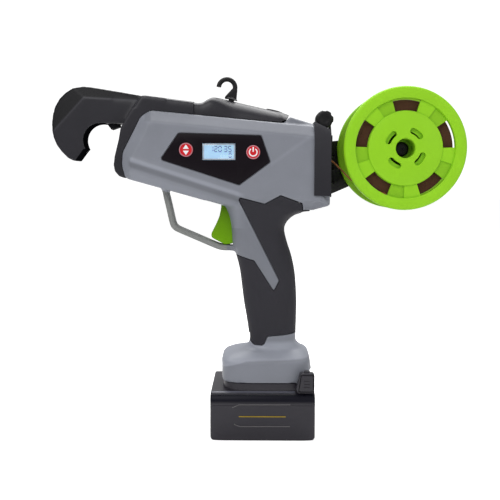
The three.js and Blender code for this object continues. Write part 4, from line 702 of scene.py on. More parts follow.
def through(centre, radius, steps=32):
    """A round bar right through the tool, for cutting."""
    return pin(centre, radius, *WIDE, steps)


def box(x, y, z):
    """A block between the two ends given along, across and up."""
    bm = new_shape()
    bmesh.ops.create_cube(bm, size=1.0)
    size = Vector((x[1] - x[0], y[1] - y[0], z[1] - z[0])) * MM
    bmesh.ops.scale(bm, verts=bm.verts, vec=size)
    return moved(bm, at(between(*x), between(*y), between(*z)))


def cone(low, high, depth, segments):
    """An upright cone or bar round the origin: its lower and upper radius and its depth."""
    bm = new_shape()
    bmesh.ops.create_cone(bm, cap_ends=True, segments=segments, radius1=low * MM, radius2=high * MM,
                          depth=depth * MM)
    return bm


def moved(bm, way):
    """The shape moved by a way in metres."""
    bmesh.ops.translate(bm, verts=bm.verts, vec=way)
    return bm


def leaned(bm, angle=HOOD_TILT, axis="Y"):
    """The shape turned about the origin, as the hood leans unless told otherwise."""
    bmesh.ops.rotate(bm, verts=bm.verts, cent=Vector(), matrix=Matrix.Rotation(angle, 3, axis))
    return bm


def cut_faces(bm):
    """Cuts faces of many sides into triangles."""
    bmesh.ops.triangulate(bm, faces=[f for f in bm.faces if len(f.verts) > 4])
    return bm


def held(bm):
    """A passing object that holds a shape while modifiers work on it."""
    mesh = bpy.data.meshes.new("shaping")
    cut_faces(bm).to_mesh(mesh)
    obj = bpy.data.objects.new("shaping", mesh)
    bpy.context.scene.collection.objects.link(obj)
    return obj


def taken(obj, extra=()):
    """The shape after its modifiers; the passing objects go."""
    graph = bpy.context.evaluated_depsgraph_get()
    shaped = obj.evaluated_get(graph)
    bm = new_shape()
    bm.from_mesh(shaped.to_mesh())
    shaped.to_mesh_clear()
    for passing in (obj, *extra):
        mesh = passing.data
        bpy.data.objects.remove(passing)
        bpy.data.meshes.remove(mesh)
    return bm


def combined(base, tools, operation):
    """The base with the tools cut away, joined on or kept in common; all the shapes given are used up."""
    body = held(base)
    cutters = [held(tool) for tool in tools]
    for cutter in cutters:
        step = body.modifiers.new("shape", "BOOLEAN")
        step.operation = operation
        step.object = cutter
        step.solver = "MANIFOLD"
    made = taken(body, cutters)
    for shape in (base, *tools):
        shape.free()
    if not made.faces:
        raise RuntimeError("a cut left nothing")
    return made


def cut(base, *tools):
    return combined(base, tools, "DIFFERENCE")


def join(base, *tools):
    return combined(base, tools, "UNION")


def common(base, *tools):
    return combined(base, tools, "INTERSECT")


def blended(bm, fineness):
    """One even skin over shapes that run into each other."""
    body = held(bm)
    step = body.modifiers.new("skin", "REMESH")
    step.mode = "VOXEL"
    step.voxel_size = fineness
    bm.free()
    return taken(body)


def relax(bm, rounds, where=None):
    """Smooths the shape, or the part of it that a test on places in millimetres picks."""
    verts = [v for v in bm.verts if where is None or where(v.co / MM)]
    for _ in range(rounds):
        bmesh.ops.smooth_vert(bm, verts=verts, factor=0.5, use_axis_x=True, use_axis_y=True,
                              use_axis_z=True)


def curve_through(points, steps):
    """More points on a smooth line through the given ones."""
    def part(p, q, r, s, t):
        return 0.5 * (2 * q + (r - p) * t + (2 * p - 5 * q + 4 * r - s) * t * t
                      + (3 * q - p - 3 * r + s) * t ** 3)

    rows = [Vector(p) for p in points]
    out = []
    for i in range(len(rows) - 1):
        four = rows[max(i - 1, 0)], rows[i], rows[i + 1], rows[min(i + 2, len(rows) - 1)]
        out += [tuple(part(*parts, k / steps) for parts in zip(*four)) for k in range(steps)]
    out.append(tuple(rows[-1]))
    return out


def loft(rows, steps=56, shrink=0.0):
    """A skin through oval rings, each given by its height, front, rear, half width and squareness."""
    bm = new_shape()
    for height, front, rear, half, square in rows:
        ring = bmesh.ops.create_circle(bm, cap_ends=False, segments=steps, radius=1.0)["verts"]
        a, b = (rear - front) / 2 - shrink, half - shrink
        for vert in ring:
            vert.co = at(between(front, rear) + a * squared(vert.co.x, 2 / square),
                         b * squared(vert.co.y, 2 / square), height)
    return skinned(bm)


def skinned(bm):
    """Rings joined by a skin and closed at both ends."""
    bmesh.ops.bridge_loops(bm, edges=bm.edges[:])
    bmesh.ops.holes_fill(bm, edges=bm.edges[:], sides=0)
    bmesh.ops.recalc_face_normals(bm, faces=bm.faces)
    return bm


def tube(points, radius, sides=12):
    """A round bar along a line of points."""
    bm = new_shape()
    ring = bmesh.ops.create_circle(bm, cap_ends=True, segments=sides, radius=radius * MM)["verts"]
    path = [at(*p) for p in points]
    heading = (path[1] - path[0]).normalized()
    turn = Vector((0, 0, 1)).rotation_difference(heading).to_matrix()
    for vert in ring:
        vert.co = turn @ vert.co + path[0]
    faces = bm.faces[:]
    for i in range(1, len(path)):
        ahead = path[min(i + 1, len(path) - 1)] - path[i - 1]
        bend = heading.rotation_difference(ahead.normalized()).to_matrix()
        heading = ahead.normalized()
        drawn = bmesh.ops.extrude_face_region(bm, geom=faces)["geom"]
        verts = [v for v in drawn if isinstance(v, bmesh.types.BMVert)]
        old = faces
        faces = [f for f in drawn if isinstance(f, bmesh.types.BMFace)]
        if i > 1:
            bmesh.ops.delete(bm, geom=old, context="FACES_ONLY")
        for vert in verts:
            vert.co = bend @ (vert.co - path[i - 1]) + path[i]
    bmesh.ops.recalc_face_normals(bm, faces=bm.faces)
    return bm


def half_of(bm, side, seam):
    """The part of a copy that lies on one side of the middle, closed along the seam."""
    part = bm.copy()
    geom = part.verts[:] + part.edges[:] + part.faces[:]
    bmesh.ops.bisect_plane(part, geom=geom, plane_co=Vector((0, side * seam / 2, 0)),
                           plane_no=Vector((0, side, 0)), clear_inner=True)
    bmesh.ops.holes_fill(part, edges=[e for e in part.edges if e.is_boundary], sides=0)
    return cut_faces(part)


def grown(bm, amount):
    """The shape with its faces moved out by an amount in millimetres."""
    bm.normal_update()
    moves = {}
    for vert in bm.verts:
        normals = []
        for face in vert.link_faces:
            if all(face.normal.dot(n) < 0.999 for n in normals):
                normals.append(face.normal.copy())
        push = sum(normals, Vector()).normalized()
        least = min((push.dot(n) for n in normals), default=1)
        moves[vert] = push * (amount * MM / max(least, 0.3))
    for vert, move in moves.items():
        vert.co += move
    return bm


def refined(node, width, segments=2, angle=32):
    """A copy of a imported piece, with its flat faces whole again and its edges broken."""
    bm = new_shape()
    bm.from_mesh(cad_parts[node].data)
    bmesh.ops.remove_doubles(bm, verts=bm.verts, dist=2e-6)
    bmesh.ops.dissolve_limit(bm, angle_limit=math.radians(1.0), verts=bm.verts[:], edges=bm.edges[:])
    soften(bm, sharp_edges(bm, math.radians(angle)), width, segments)
    return bm


def put(name, bm, finish, body="tool_body", stands_for=(), sharp=38):
    """A finished piece in the scene, riding on its body."""
    bmesh.ops.remove_doubles(bm, verts=bm.verts, dist=1e-7)
    mesh = bpy.data.meshes.new(name)
    bm.to_mesh(mesh)
    bm.free()
    mesh.polygons.foreach_set("use_smooth", [True] * len(mesh.polygons))
    mesh.set_sharp_from_angle(angle=math.radians(sharp))
    obj = bpy.data.objects.new(name, mesh)
    bpy.context.scene.collection.objects.link(obj)
    obj.data.materials.append(material(finish))
    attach(obj, body)
    if stands_for:
        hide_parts(*stands_for)


# Body shells, sleeve and guard

# How far in from the head's outline the two parts of the hollow start, and their half widths.
HOLLOW = ((3.8, 16.4), (12.7, 23.0))
WALL = 2.4

# Rooms in the shells: their ends along, across and up.
DOCK_ROOM = ((-30.0, 60.0), (-22.4, 22.4), (40.0, 54.4))
TWISTER_ROOM = ((-120.0, -104.0), (-12.3, 12.3), (219.6, 244.2))
DISPLAY_ROOM = ((-49.2, -20.4), (-REACH, -20.0), (223.4, 239.2))
BEHIND_HEAD = ((51.2, 60.0), WIDE, (196.1, 270.0))
BESIDE_TRIGGER = ((-24.0, 60.0), (17.4, REACH), (150.0, 198.5))
TRIGGER_HALF = 7.3


def grip_rows():
    square = sizes("body").grip_square
    return [(*row, square) for row in curve_through(GRIP_ROWS, 4)]


def head_shape(grow=0.0):
    """The head: a flat plate on each side, with a slope all round it."""
    s = sizes("body")
    rim = mm(s.head_half) - mm(s.head_drop)
    shape = prism(HEAD, -rim, rim, 5)
    for side in (-1, 1):
        faces = [f for f in shape.faces if f.normal.y * side > 0.99]
        bmesh.ops.inset_region(shape, faces=faces, thickness=s.head_chamfer, depth=s.head_drop,
                               use_even_offset=True, use_boundary=True)
    cut_faces(shape)
    return grown(shape, grow) if grow else shape


def guard_bar():
    points = [(x, 0, z) for x, z in curve_through(GUARD_LINE, 5)]
    return swept(points, thick=2.5, half=7.3, sides=40, square=5.0)


def swept(points, thick, half, sides, square):
    """A squarish bar along a line in the side view."""
    bm = new_shape()
    last = None
    end = len(points) - 1
    for i, point in enumerate(points):
        ahead = (at(*points[min(i + 1, end)]) - at(*points[max(i - 1, 0)])).normalized()
        out = Vector((ahead.z, 0, -ahead.x))
        ring = bmesh.ops.create_circle(bm, cap_ends=i in (0, end), segments=sides, radius=1.0)["verts"]
        for vert in ring:
            vert.co = (at(*point) + out * (thick * MM * squared(vert.co.x, 2 / square))
                       + Vector((0, half * MM * squared(vert.co.y, 2 / square), 0)))
        edges = [e for e in bm.edges if all(v in ring for v in e.verts)]
        if last:
            bmesh.ops.bridge_loops(bm, edges=last + edges)
        last = edges
    bmesh.ops.recalc_face_normals(bm, faces=bm.faces)
    return bm


def body_shape():
    """Head, grip, foot and guard in one even skin. After a light smoothing all over, the runs from grip to
    head, from foot to grip, along the plate's lower edge and from guard to head are smoothed further."""
    s = sizes("body")
    half = mm(s.roof_half)
    whole = join(head_shape(), plate(ROOF, -half, half, 4, 1), loft(grip_rows()),
                 loft(FOOT_ROWS), loft(SHOULDER_ROWS), guard_bar())
    skin = blended(join(whole, *plate_ridges()), s.fine)
    relax(skin, 2)
    relax(skin, 30, lambda p: 178 < p.z < 199 and -46 < p.x < 36 and abs(p.y) > 7.6)
    relax(skin, 8, lambda p: 66 < p.z < 84)
    relax(skin, 8, near_line((-103.3, 224.8), RIDGE[-1], 3.6, 19))
    relax(skin, 10, lambda p: abs(p.y) < 9 and p.x < -60 and 196 < p.z < 207)
    return skin


def plate_ridges():
    """The rounded ridge along the lower edge of each side plate."""
    depth = mm(sizes("body").head_half) - 1.4
    return [tube([(x, side * depth, z) for x, z in RIDGE], 2.5, 16) for side in (-1, 1)]


def near_line(first, second, width, least):
    """A test for points close to a line in the side view and far out to a side."""
    a, b = Vector(first), Vector(second)
    along = (b - a).normalized()

    def test(p):
        offset = Vector((p.x, p.z)) - a
        return (abs(p.y) > least and -3 < offset.dot(along) < (b - a).length
                and abs(offset.cross(along)) < width)
    return test


def inner_shape():
    """The hollow inside the shells: the head, narrow near its outline and wide within, and the grip."""
    head = [prism(inward(HEAD, inset), -half, half) for inset, half in HOLLOW]
    along, (near, far), up = BESIDE_TRIGGER
    sides = [box(along, across(side, near, far), up) for side in (-1, 1)]
    return cut(join(*head, loft(grip_rows(), 40, WALL + 2), loft(SHOULDER_ROWS[1:], 40, WALL + 1.5)),
               *sides)


def inward(outline, amount):
    """The outline moved inward by an amount, with sharp corners."""
    lines = []
    for i, here in enumerate(outline):
        a, b = Vector(here[:2]), Vector(outline[(i + 1) % len(outline)][:2])
        along = (b - a).normalized()
        lines.append((a + Vector((-along.y, along.x)) * amount, along))
    corners = []
    for i, (q, e) in enumerate(lines):
        p, d = lines[i - 1]
        corners.append(tuple(p + d * ((q - p).cross(e) / d.cross(e))))
    return corners


def grip_core(inset):
    """The hard core under the soft sleeve, drawn out upwards into the head."""
    root = [(height, -30.0, 40.0, 22.0 - inset, 2.6) for height in (190.0, 205.0)]
    return join(loft(grip_rows(), shrink=inset), loft(SHOULDER_ROWS, shrink=inset), loft(root))


def shaved(bm, point, normal):
    """The shape with everything beyond a plane taken off."""
    found = bmesh.ops.bisect_plane(bm, geom=bm.verts[:] + bm.edges[:] + bm.faces[:], plane_co=point,
                                   plane_no=normal, clear_outer=True)["geom_cut"]
    edges = [e for e in found if isinstance(e, bmesh.types.BMEdge)]
    bmesh.ops.holes_fill(bm, edges=edges, sides=0)
    return bm


def screw_wells():
    return [pin(place, 3.0, 9.0, REACH, 20) for place in SCREWS]


def trigger_room():
    """Room for the trigger, at rest and pulled."""
    half = TRIGGER_HALF + 0.1
    room = prism(TRIGGER, -half, half)
    pulled = prism([(x + 5, z) for x, z, _ in TRIGGER], -half, half)
    return grown(join(room, pulled), 0.5)


class VINE_OT_body(bpy.types.Operator):
    """Make the grey body shells, the guard and the soft sleeve of the grip"""
    bl_idname = "vine.body"
    bl_label = "Body and grip"

    def execute(self, context):
        s = sizes("body")
        whole = body_shape()
        guard = common(whole.copy(), prism(GUARD_ZONE, *WIDE))
        whole = cut(whole, prism(GUARD_ZONE, *WIDE))
        sleeve = common(whole.copy(), prism(RUBBER, *WIDE))
        sleeve = cut(sleeve, grip_core(mm(s.rubber)), trigger_room(), *screw_wells())
        shell = cut(whole, *self.openings(s))
        for side, name in SIDES:
            put("body_" + name, half_of(shell, side, s.seam), "housing_plastic",
                stands_for=(name + "_housing",))
            put("sleeve_" + name, half_of(sleeve, side, s.seam), "grip_rubber",
                stands_for=("grip_sleeve_" + name,))
        shell.free()
        sleeve.free()
        put("guard", guard, "guard_plastic", stands_for=("trigger_guard",))
        return {"FINISHED"}

    @staticmethod
    def openings(s):
        """What is cut from the shells: the beds of the sleeve and the panel, the hollow round the screws'
        posts, and the rooms of the dock, twister, bracket, trigger, knob, screws, buttons and display."""
        sleeve_bed = cut(grown(prism(RUBBER, *WIDE), mm(s.groove)), grip_core(mm(s.rubber) + 0.2))
        panel_bed = grown(prism(PANEL, -REACH, -mm(s.head_half) + 0.9), 0.35)
        hollow = cut(inner_shape(), *[through(place, 4.6, 20) for place in SCREWS])
        behind_panel = [pin(place, 6.8, -REACH, -20.0, 40) for place in (ADJUST, POWER)]
        return [sleeve_bed, panel_bed, hollow, box(*DOCK_ROOM), box(*TWISTER_ROOM), box(*BEHIND_HEAD),
                lengthways(TWISTER_UP, 4.4, -120.0, -60.0), trigger_room(), through((50.0, 258.0), 7.7),
                *screw_wells(), *behind_panel, box(*DISPLAY_ROOM)]


def lengthways(height, radius, low, high):
    """A round bar along the tool at a height, for cutting."""
    bar = leaned(cone(radius, radius, high - low, 40), math.pi / 2)
    return moved(bar, at(between(low, high), 0, height))


# Nose and hood

# Each fold's other point on the hook's face, and a point of the hook's outline beyond the fold.
FOLDS = (((-99.5, 273.0), (-140.7, 284.5)), ((-165.0, 254.6), (-166.4, 275.0)))
FOLD_DEPTH = 4.2
HEAD_GAP = 0.35
NOSE_SCREW = (-92.1, 269.0)
NOSE_ROOM = ((-100, -50), (-14, 14), (243, 262))
NOSE_END = ((-55.45, -40.0), WIDE, (200, 300))

# The hood's skins: how far over its top line, and their half widths. Its arch stands on its foot.
HOOD_OUTSIDE = (0, 16.9)
HOOD_BAND = (0.5, 17.4)
HOOD_INSIDE = (-2.4, 14.4)
HOOD_FOOT = 251.0
SHANK_FOOT = 266.9
HANGER_WEB = ((-31.6, 275.6, 0.6), (-30.6, 277.6, 1), (-24.9, 283.6, 0), (-20.9, 282.5, 0),
              (-21.7, 274.3, 0.6))
HANGER_EYE = (-29.45, 284.4)


class VINE_OT_nose(bpy.types.Operator):
    """Make the dark nose with its tying jaw"""
    bl_idname = "vine.nose"
    bl_label = "Nose"

    def execute(self, context):
        s = sizes("nose")
        hook_half, frame_half, wire = mm(s.hook_half), mm(s.frame_half), mm(s.groove)
        hook = plate(HOOK, -hook_half, hook_half, 1.6, 2)
        for side in (-1, 1):
            for second, outer in FOLDS:
                fold(hook, side, hook_half, FOLD_AT, second, outer)
        rim = plate(FRAME, -frame_half, frame_half, 1.4, 2)
        whole = blended(join(hook, rim), s.fine)
        relax(whole, 2)
        relax(whole, 40, lambda p: -122 < p.x < -99 and p.z > 256 and 7 < abs(p.y) < 18.4)
        relax(whole, 14, lambda p: p.z > 266 and p.x > -104 and abs(p.y) > 13)
        relax(whole, 30, lambda p: p.z > 265 and -78 < p.x < -53 and abs(p.y) > 9)
        inner = join(head_shape(HEAD_GAP), box(*NOSE_ROOM))
        groove = turned([(12.8, -wire), (18.7, -wire), (18.7, wire), (12.8, wire)], JAW_AT, 64)
        channel = box((-134.0, -110.0), (-wire, wire), (257.9, 260.1))
        rotor = lengthways(TWISTER_UP, 6.4, -116.0, -105.0)
        well = pin(NOSE_SCREW, 3.0, 4.7, REACH, 20)
        whole = cut(whole, inner, through(JAW_AT, JAW_RADIUS, 64), groove, channel, rotor, well,
                    box(*NOSE_END))
        for side, name in SIDES:
            put("nose_shell_" + name, half_of(whole, side, sizes("body").seam), "nose_plastic",
                stands_for=("nose_" + name,))
        whole.free()
        put("tooth", refined("jaw_tooth", 0.35), "dark_steel", stands_for=("jaw_tooth",))
        return {"FINISHED"}


def fold(bm, side, half, first, second, outer):
    """Cuts a slope off a face of the hook, through two points on it and one further down outside."""
    a = at(first[0], side * half, first[1])
    b = at(second[0], side * half, second[1])
    c = at(outer[0], side * (half - FOLD_DEPTH), outer[1])
    normal = (b - a).cross(c - a).normalized()
    if normal.y * side < 0:
        normal.negate()
    shaved(bm, a, normal)


class VINE_OT_hood(bpy.types.Operator):
    """Make the arched hood over the head, the hanging hook and its clip"""
    bl_idname = "vine.hood"
    bl_label = "Hood and hook"

    def execute(self, context):
        shape = common(prism(HOOD, -17, 17), vault(*HOOD_OUTSIDE))
        band = common(vault(*HOOD_BAND), prism(HOOD, *WIDE), box((13.4, 15.8), WIDE, (240, 290)))
        shape = cut(join(shape, band), head_shape(HEAD_GAP), vault(*HOOD_INSIDE), self.shank(3.0, 280))
        shape = join(shape, self.bump())
        put("hood_shell", shape, "nose_plastic", stands_for=("top_hood",))
        put("hook", self.hanger(), "black_plastic", "hanging_hook", ("hanging_hook",))
        put("clip", refined("hook_clip", 0.15, 1), "steel", "hanging_hook", ("hook_clip",))
        return {"FINISHED"}

    @staticmethod
    def bump():
        """The flat oval button on the hood's rear slope."""
        bm = cone(5, 5, 3, 40)
        soften(bm, [e for e in bm.edges if all(v.co.z > 0 for v in e.verts)], 0.5, 3)
        bmesh.ops.scale(bm, verts=bm.verts, vec=Vector((1.25, 1, 1)))
        return moved(leaned(bm), at(8.6, 0, 264.6))

    @staticmethod
    def shank(radius, top):
        """The leaning pin on which the hook turns, up to a height."""
        x, z = HANGER_AT
        pole = moved(cone(radius, radius, top - SHANK_FOOT, 32), at(0, 0, (top + SHANK_FOOT) / 2 - z))
        return moved(leaned(pole), at(x, 0, z))

    def hanger(self):
        """The hanging hook: an open ring with a web at its foot, on a collar and a grooved pin."""
        x, z = HANGER_EYE
        turns = [math.radians(-20 + 8.5 * k) for k in range(24)]
        bar = tube([(-25.6, 0, 275.6), (-24.3, 0, 279.6)]
                   + [(x + 6.7 * math.cos(t), 0, z + 6.7 * math.sin(t)) for t in turns], 1.95, 20)
        web = plate(HANGER_WEB, -2.0, 2.0, 0.8, 3)
        foot = moved(leaned(cone(5.2, 3.2, 1.8, 40)), at(-25.6, 0, 275.7))
        return cut(join(bar, web, foot, self.shank(2.3, 276)), self.clip_groove())

    @staticmethod
    def clip_groove():
        """The groove of the clip round the pin."""
        ring = leaned(cut(cone(5, 5, 1.8, 32), cone(1.68, 1.68, 4, 32)))
        down = Vector((math.sin(HOOD_TILT), 0, math.cos(HOOD_TILT))) * (-5.6 * MM)
        return moved(ring, at(HANGER_AT[0], 0, HANGER_AT[1]) + down)


def vault(rise, half):
    """A long arched block under the hood's top line; it is squarer in front, where it meets the nose."""
    bm = new_shape()
    for x, top in curve_through([(x, z + rise) for x, z in HOOD_TOP], 5):
        arch = 2 / (2.3 + 4.5 * min(1.0, max(0.0, (-26.0 - x) / 26.0)))
        for vert in bmesh.ops.create_circle(bm, cap_ends=False, segments=64, radius=1.0)["verts"]:
            power, depth = (arch, top - HOOD_FOOT) if vert.co.y > 0 else (0.2, 15.0)
            vert.co = at(x, half * squared(vert.co.x, power), HOOD_FOOT + depth * squared(vert.co.y, power))
    return skinned(bm)


# Spool, winding and strand

FIRST_WINDOW = math.radians(89.5)
WINDOW_WIDE = math.radians(33)
ARC_STEPS = 8
HUB = (10.2, 18.4)


class VINE_OT_reel(bpy.types.Operator):
    """Make the spool with its windows and slots, the wire wound on it and the strand that leaves it"""
    bl_idname = "vine.reel"
    bl_label = "Spool and wire"

    def execute(self, context):
        s = sizes("reel")
        put("spool_reel", self.spool(s), "spool_green", "spool", ("wire_spool",), sharp=32)
        put("winding", self.winding(s), "wire_paper", "spool", ("wire_winding",), sharp=60)
        strand = tube(curve_through(STRAND, 3), 0.7, 12)
        put("strand", strand, "strand_paper", stands_for=("tie_wire",), sharp=60)
        return {"FINISHED"}

    def spool(self, s):
        """Two flanges on a hollow hub, with windows between stepped spokes and slots round the bore."""
        r, h = mm(s.radius), mm(s.half)
        flange = [(r - 2.2, -h), (r - 1.1, -h + 0.3), (r - 0.3, -h + 1.1), (r, -h + 2.2), (r, -h + 3.6),
                  (r - 0.5, -h + 4.6), (r - 1.5, -h + 5.2), (20.6, -h + 5.2), (20, -h + 5.8)]
        far = [(radius, -y) for radius, y in reversed(flange)]
        face = [(7.7, -h + 18.0), (7.7, -h + 1.1), (8.3, -h + 0.5), (28.6, -h + 0.5), (29.2, -h + 0.8),
                (29.5, -h + 1.4), (29.6, -h + 2.8), (39.1, -h + 2.8), (39.2, -h + 0.9), (39.5, -h + 0.3),
                (40.1, -h)]
        back = [(radius, -y) for radius, y in reversed(face[1:])]
        bore = [(7.7, h - 1.2), (5.9, h - 1.2), (5.9, -h + 18.0)]
        shape = turned(face + flange + far + back + bore[1:], SPOOL_AT, 144)
        windows = [self.window(i, s, h) for i in range(s.windows)]
        slots = [self.kidney(i, h, side) for i in range(4) for side in (-1, 1)]
        steps = [self.raised(i, s, h, side) for i in range(s.windows) for side in (-1, 1)]
        inside = h - 5.2
        hollow = ring_bar(*HUB, -inside, inside, 72)
        ledges = [ring_bar(13.9, 18.8, y - 1.6, y + 1.6, 96) for y in (-inside, inside)]
        return join(cut(shape, *windows, hollow, *slots), *steps, *ledges)

    @staticmethod
    def window(i, s, h):
        middle = FIRST_WINDOW + i * math.tau / s.windows
        return sector(29.8, 39.4, middle, WINDOW_WIDE, 0.5, -h - 2, h + 2)

    @staticmethod
    def kidney(i, h, side):
        """A curved slot with round ends beside the bore."""
        middle, reach, radius, half = math.radians(54 + 90 * i), math.radians(13.6), 14.6, 2.4
        points = []
        for end in (1, -1):
            x, z = around(radius, middle + end * reach)
            for k in range(ARC_STEPS + 1):
                turn = middle + end * reach + math.pi * (k / ARC_STEPS + (0 if end > 0 else 1))
                points.append((x + half * math.cos(turn), z + half * math.sin(turn)))
            points += [around(radius - end * half, middle + end * reach * (1 - k / 3)) for k in range(1, 6)]
        return prism(points, *across(side, h - 7, h + 2))

    @staticmethod
    def raised(i, s, h, side):
        """Half of each spoke stands a step higher than the other half."""
        middle = FIRST_WINDOW + (i + 0.5) * math.tau / s.windows
        half = (math.tau / s.windows - WINDOW_WIDE) / 2
        return sector(29.2, 39.4, middle + half / 2, half, 0, *across(side, h - 3.4, h - 1.8))

    @staticmethod
    def winding(s):
        """A roll with a ridge for each turn: fine loops outside, and the ends of the layers beside."""
        r, h = mm(s.winding), mm(s.winding_half)
        pitch = 2 * h / s.loops
        outer = []
        for k in range(s.loops):
            middle = -h + pitch * (k + 0.5)
            outer += [(r - pitch * 0.42, middle - pitch * 0.5), (r - pitch * 0.1, middle - pitch * 0.3),
                      (r, middle), (r - pitch * 0.1, middle + pitch * 0.3)]
        layers = int((r - 21.5) / pitch)
        side = []
        for k in range(layers):
            middle = r - pitch * (k + 0.9)
            side += [(middle + pitch * 0.5, h - pitch * 0.35), (middle + pitch * 0.2, h - 0.05),
                     (middle - pitch * 0.2, h - 0.05)]
        other = [(radius, -y) for radius, y in reversed(side)]
        return turned(outer + side + [(20.3, h - 0.4), (20.3, -h + 0.4)] + other, SPOOL_AT, 96)


def around(radius, angle, centre=SPOOL_AT):
    """A point in the side view, round the spool's axis unless told otherwise."""
    return centre[0] + radius * math.cos(angle), centre[1] + radius * math.sin(angle)


def ring_bar(inner, outer, low, high, steps):
    """A plain ring round the spool's axis."""
    return turned([(inner, low), (outer, low), (outer, high), (inner, high)], SPOOL_AT, steps)


def sector(inner, outer, middle, width, rounding, low, high):
    """A curved block round the spool's axis, with rounded corners."""
    points = []
    for radius, order in ((outer, 1), (inner, -1)):
        for k in range(ARC_STEPS + 1):
            angle = middle + order * width * (k / ARC_STEPS - 0.5)
            points.append((*around(radius, angle), rounding if k in (0, ARC_STEPS) else 0))
    return prism(points, low, high, 5)


class VINE_OT_carrier(bpy.types.Operator):
    """Make the rear bracket, the arm with its axle, the inlet and the clamp knob"""
    bl_idname = "vine.carrier"
    bl_label = "Bracket, arm and knob"

    def execute(self, context):
        put("bracket", self.bracket(), "nose_plastic", stands_for=("rear_bracket",))
        put("arm", refined("reel_arm", 0.6, angle=30), "black_plastic", stands_for=("reel_arm",))
        put("axle", self.axle(), "black_plastic", stands_for=("reel_axle",))
        put("axle_end", self.axle_end(), "black_plastic", stands_for=("axle_cap",))
        put("inlet", self.inlet(), "black_plastic", stands_for=("wire_inlet_bush",))
        put("knob", self.knob(), "black_plastic", "clamp_knob", ("clamp_knob",))
        return {"FINISHED"}

    @staticmethod
    def bracket():
        """The cap over the head's rear end, with an ear for the knob's stud and wells beside it."""
        half = 28.8
        stand = prism(BRACKET, -half, half)
        for side in (-1, 1):
            shaved(stand, at(0, side * half, 242.5), Vector((0, side * 0.83, 0.56)).normalized())
        ear = common(pin(KNOB_AT, 7.2, -2.0, 2.0, 64), box((40.4, 60), WIDE, (240, 280)))
        inside = common(join(head_shape(0.3), grown(prism(ROOF, -16, 16), 0.3)),
                        box((-REACH, 51.3), WIDE, (150, 300)))
        wells = [pin(KNOB_AT, 7.8, *across(side, 2.2, 11.6), 48) for side in (-1, 1)]
        return cut(join(cut(stand, inside, *wells), ear), through(KNOB_AT, 2.2),
                   lengthways(WIRE_UP, 5.3, 30, 60))

    @staticmethod
    def axle():
        """The axle with its head on the far side."""
        return disc_solid([(0, -8.3), (5.1, -8.3), (5.4, -8.0), (5.4, 32.5), (9.6, 32.5), (10.0, 32.9),
                           (10.0, 34.1), (9.6, 34.5), (0, 34.5)], SPOOL_AT, 64)

    @staticmethod
    def axle_end():
        """The cap at the bottom of the bore, with rings and a screw's recess."""
        y = -8.6
        return disc_solid([(0, y + 0.4), (1.5, y + 0.4), (1.5, y - 1.0), (2.6, y - 1.2), (2.6, y - 1.6),
                           (3.7, y - 1.6), (3.8, y - 0.9), (4.3, y - 0.9), (4.4, y - 1.6), (5.2, y - 1.4),
                           (5.5, y - 1.0), (5.6, y + 4.4), (7.3, y + 4.6), (7.3, y + 7.0), (0, y + 7.0)],
                          SPOOL_AT, 64)

    @staticmethod
    def inlet():
        """The bush where the wire goes in, turned across the tool and then laid along it."""
        bush = turned([(1.6, -49.2), (5.0, -49.2), (5.0, -54.2), (5.6, -54.2), (6.2, -54.5), (6.2, -55.2),
                       (5.9, -55.5), (2.6, -55.5), (1.6, -54.9)], (0, 0), 48)
        return moved(leaned(bush, math.pi / 2, "Z"), at(0, 0, WIRE_UP))

    @staticmethod
    def knob():
        """A disc with six notches, its stud and the nut on the far side."""
        disc = disc_solid([(0, -10.3), (5.6, -10.3), (6.8, -9.7), (7.2, -8.9), (7.2, -3.2), (6.6, -2.3),
                           (0, -2.3)], KNOB_AT)
        notches = [pin(around(8.6, math.tau * (k + 0.5) / 6, KNOB_AT), 2.3, -12, 0, 32) for k in range(6)]
        disc = cut(disc, *notches, pin(KNOB_AT, 3.4, -12, -9.7, 40))
        soften(disc, sharp_edges(disc, 0.9), 0.35, 2)
        nut = [around(3.6, math.tau * k / 6, KNOB_AT) for k in range(6)]
        return join(disc, pin(KNOB_AT, 2.0, -2.6, 7.2, 32), plate(nut, 6.9, 9.9, 0.3, 1))


# Controls and trigger

PANEL_FACE = -27.4
MARK_FACE = (-27.95, -27.7)
DIGIT_FACE = (-25.98, -25.82)
WINDOW = ((-47.8, -21.8), WIDE, (224.8, 237.8))
RIM_OUTSIDE = ((-47.6, -22.0), (-25.95, -25.8), (225.0, 237.6))
RIM_INSIDE = ((-46.6, -23.0), WIDE, (226.0, 236.6))
SPRING_ROOM = ((-27.0, 0.0), (-1.9, 1.9), (186.3, 200.0))

# A number's seven bars: their ends in its width and height, and the bars that each digit lights.
BARS = {"a": ((0, 1), (1, 1)), "g": ((0, 0.5), (1, 0.5)), "d": ((0, 0), (1, 0)), "f": ((0, 0.5), (0, 1)),
        "e": ((0, 0), (0, 0.5)), "b": ((1, 0.5), (1, 1)), "c": ((1, 0), (1, 0.5))}
LIT = {"0": "abcdef", "1": "bc", "2": "abged", "3": "abgcd", "5": "afgcd"}


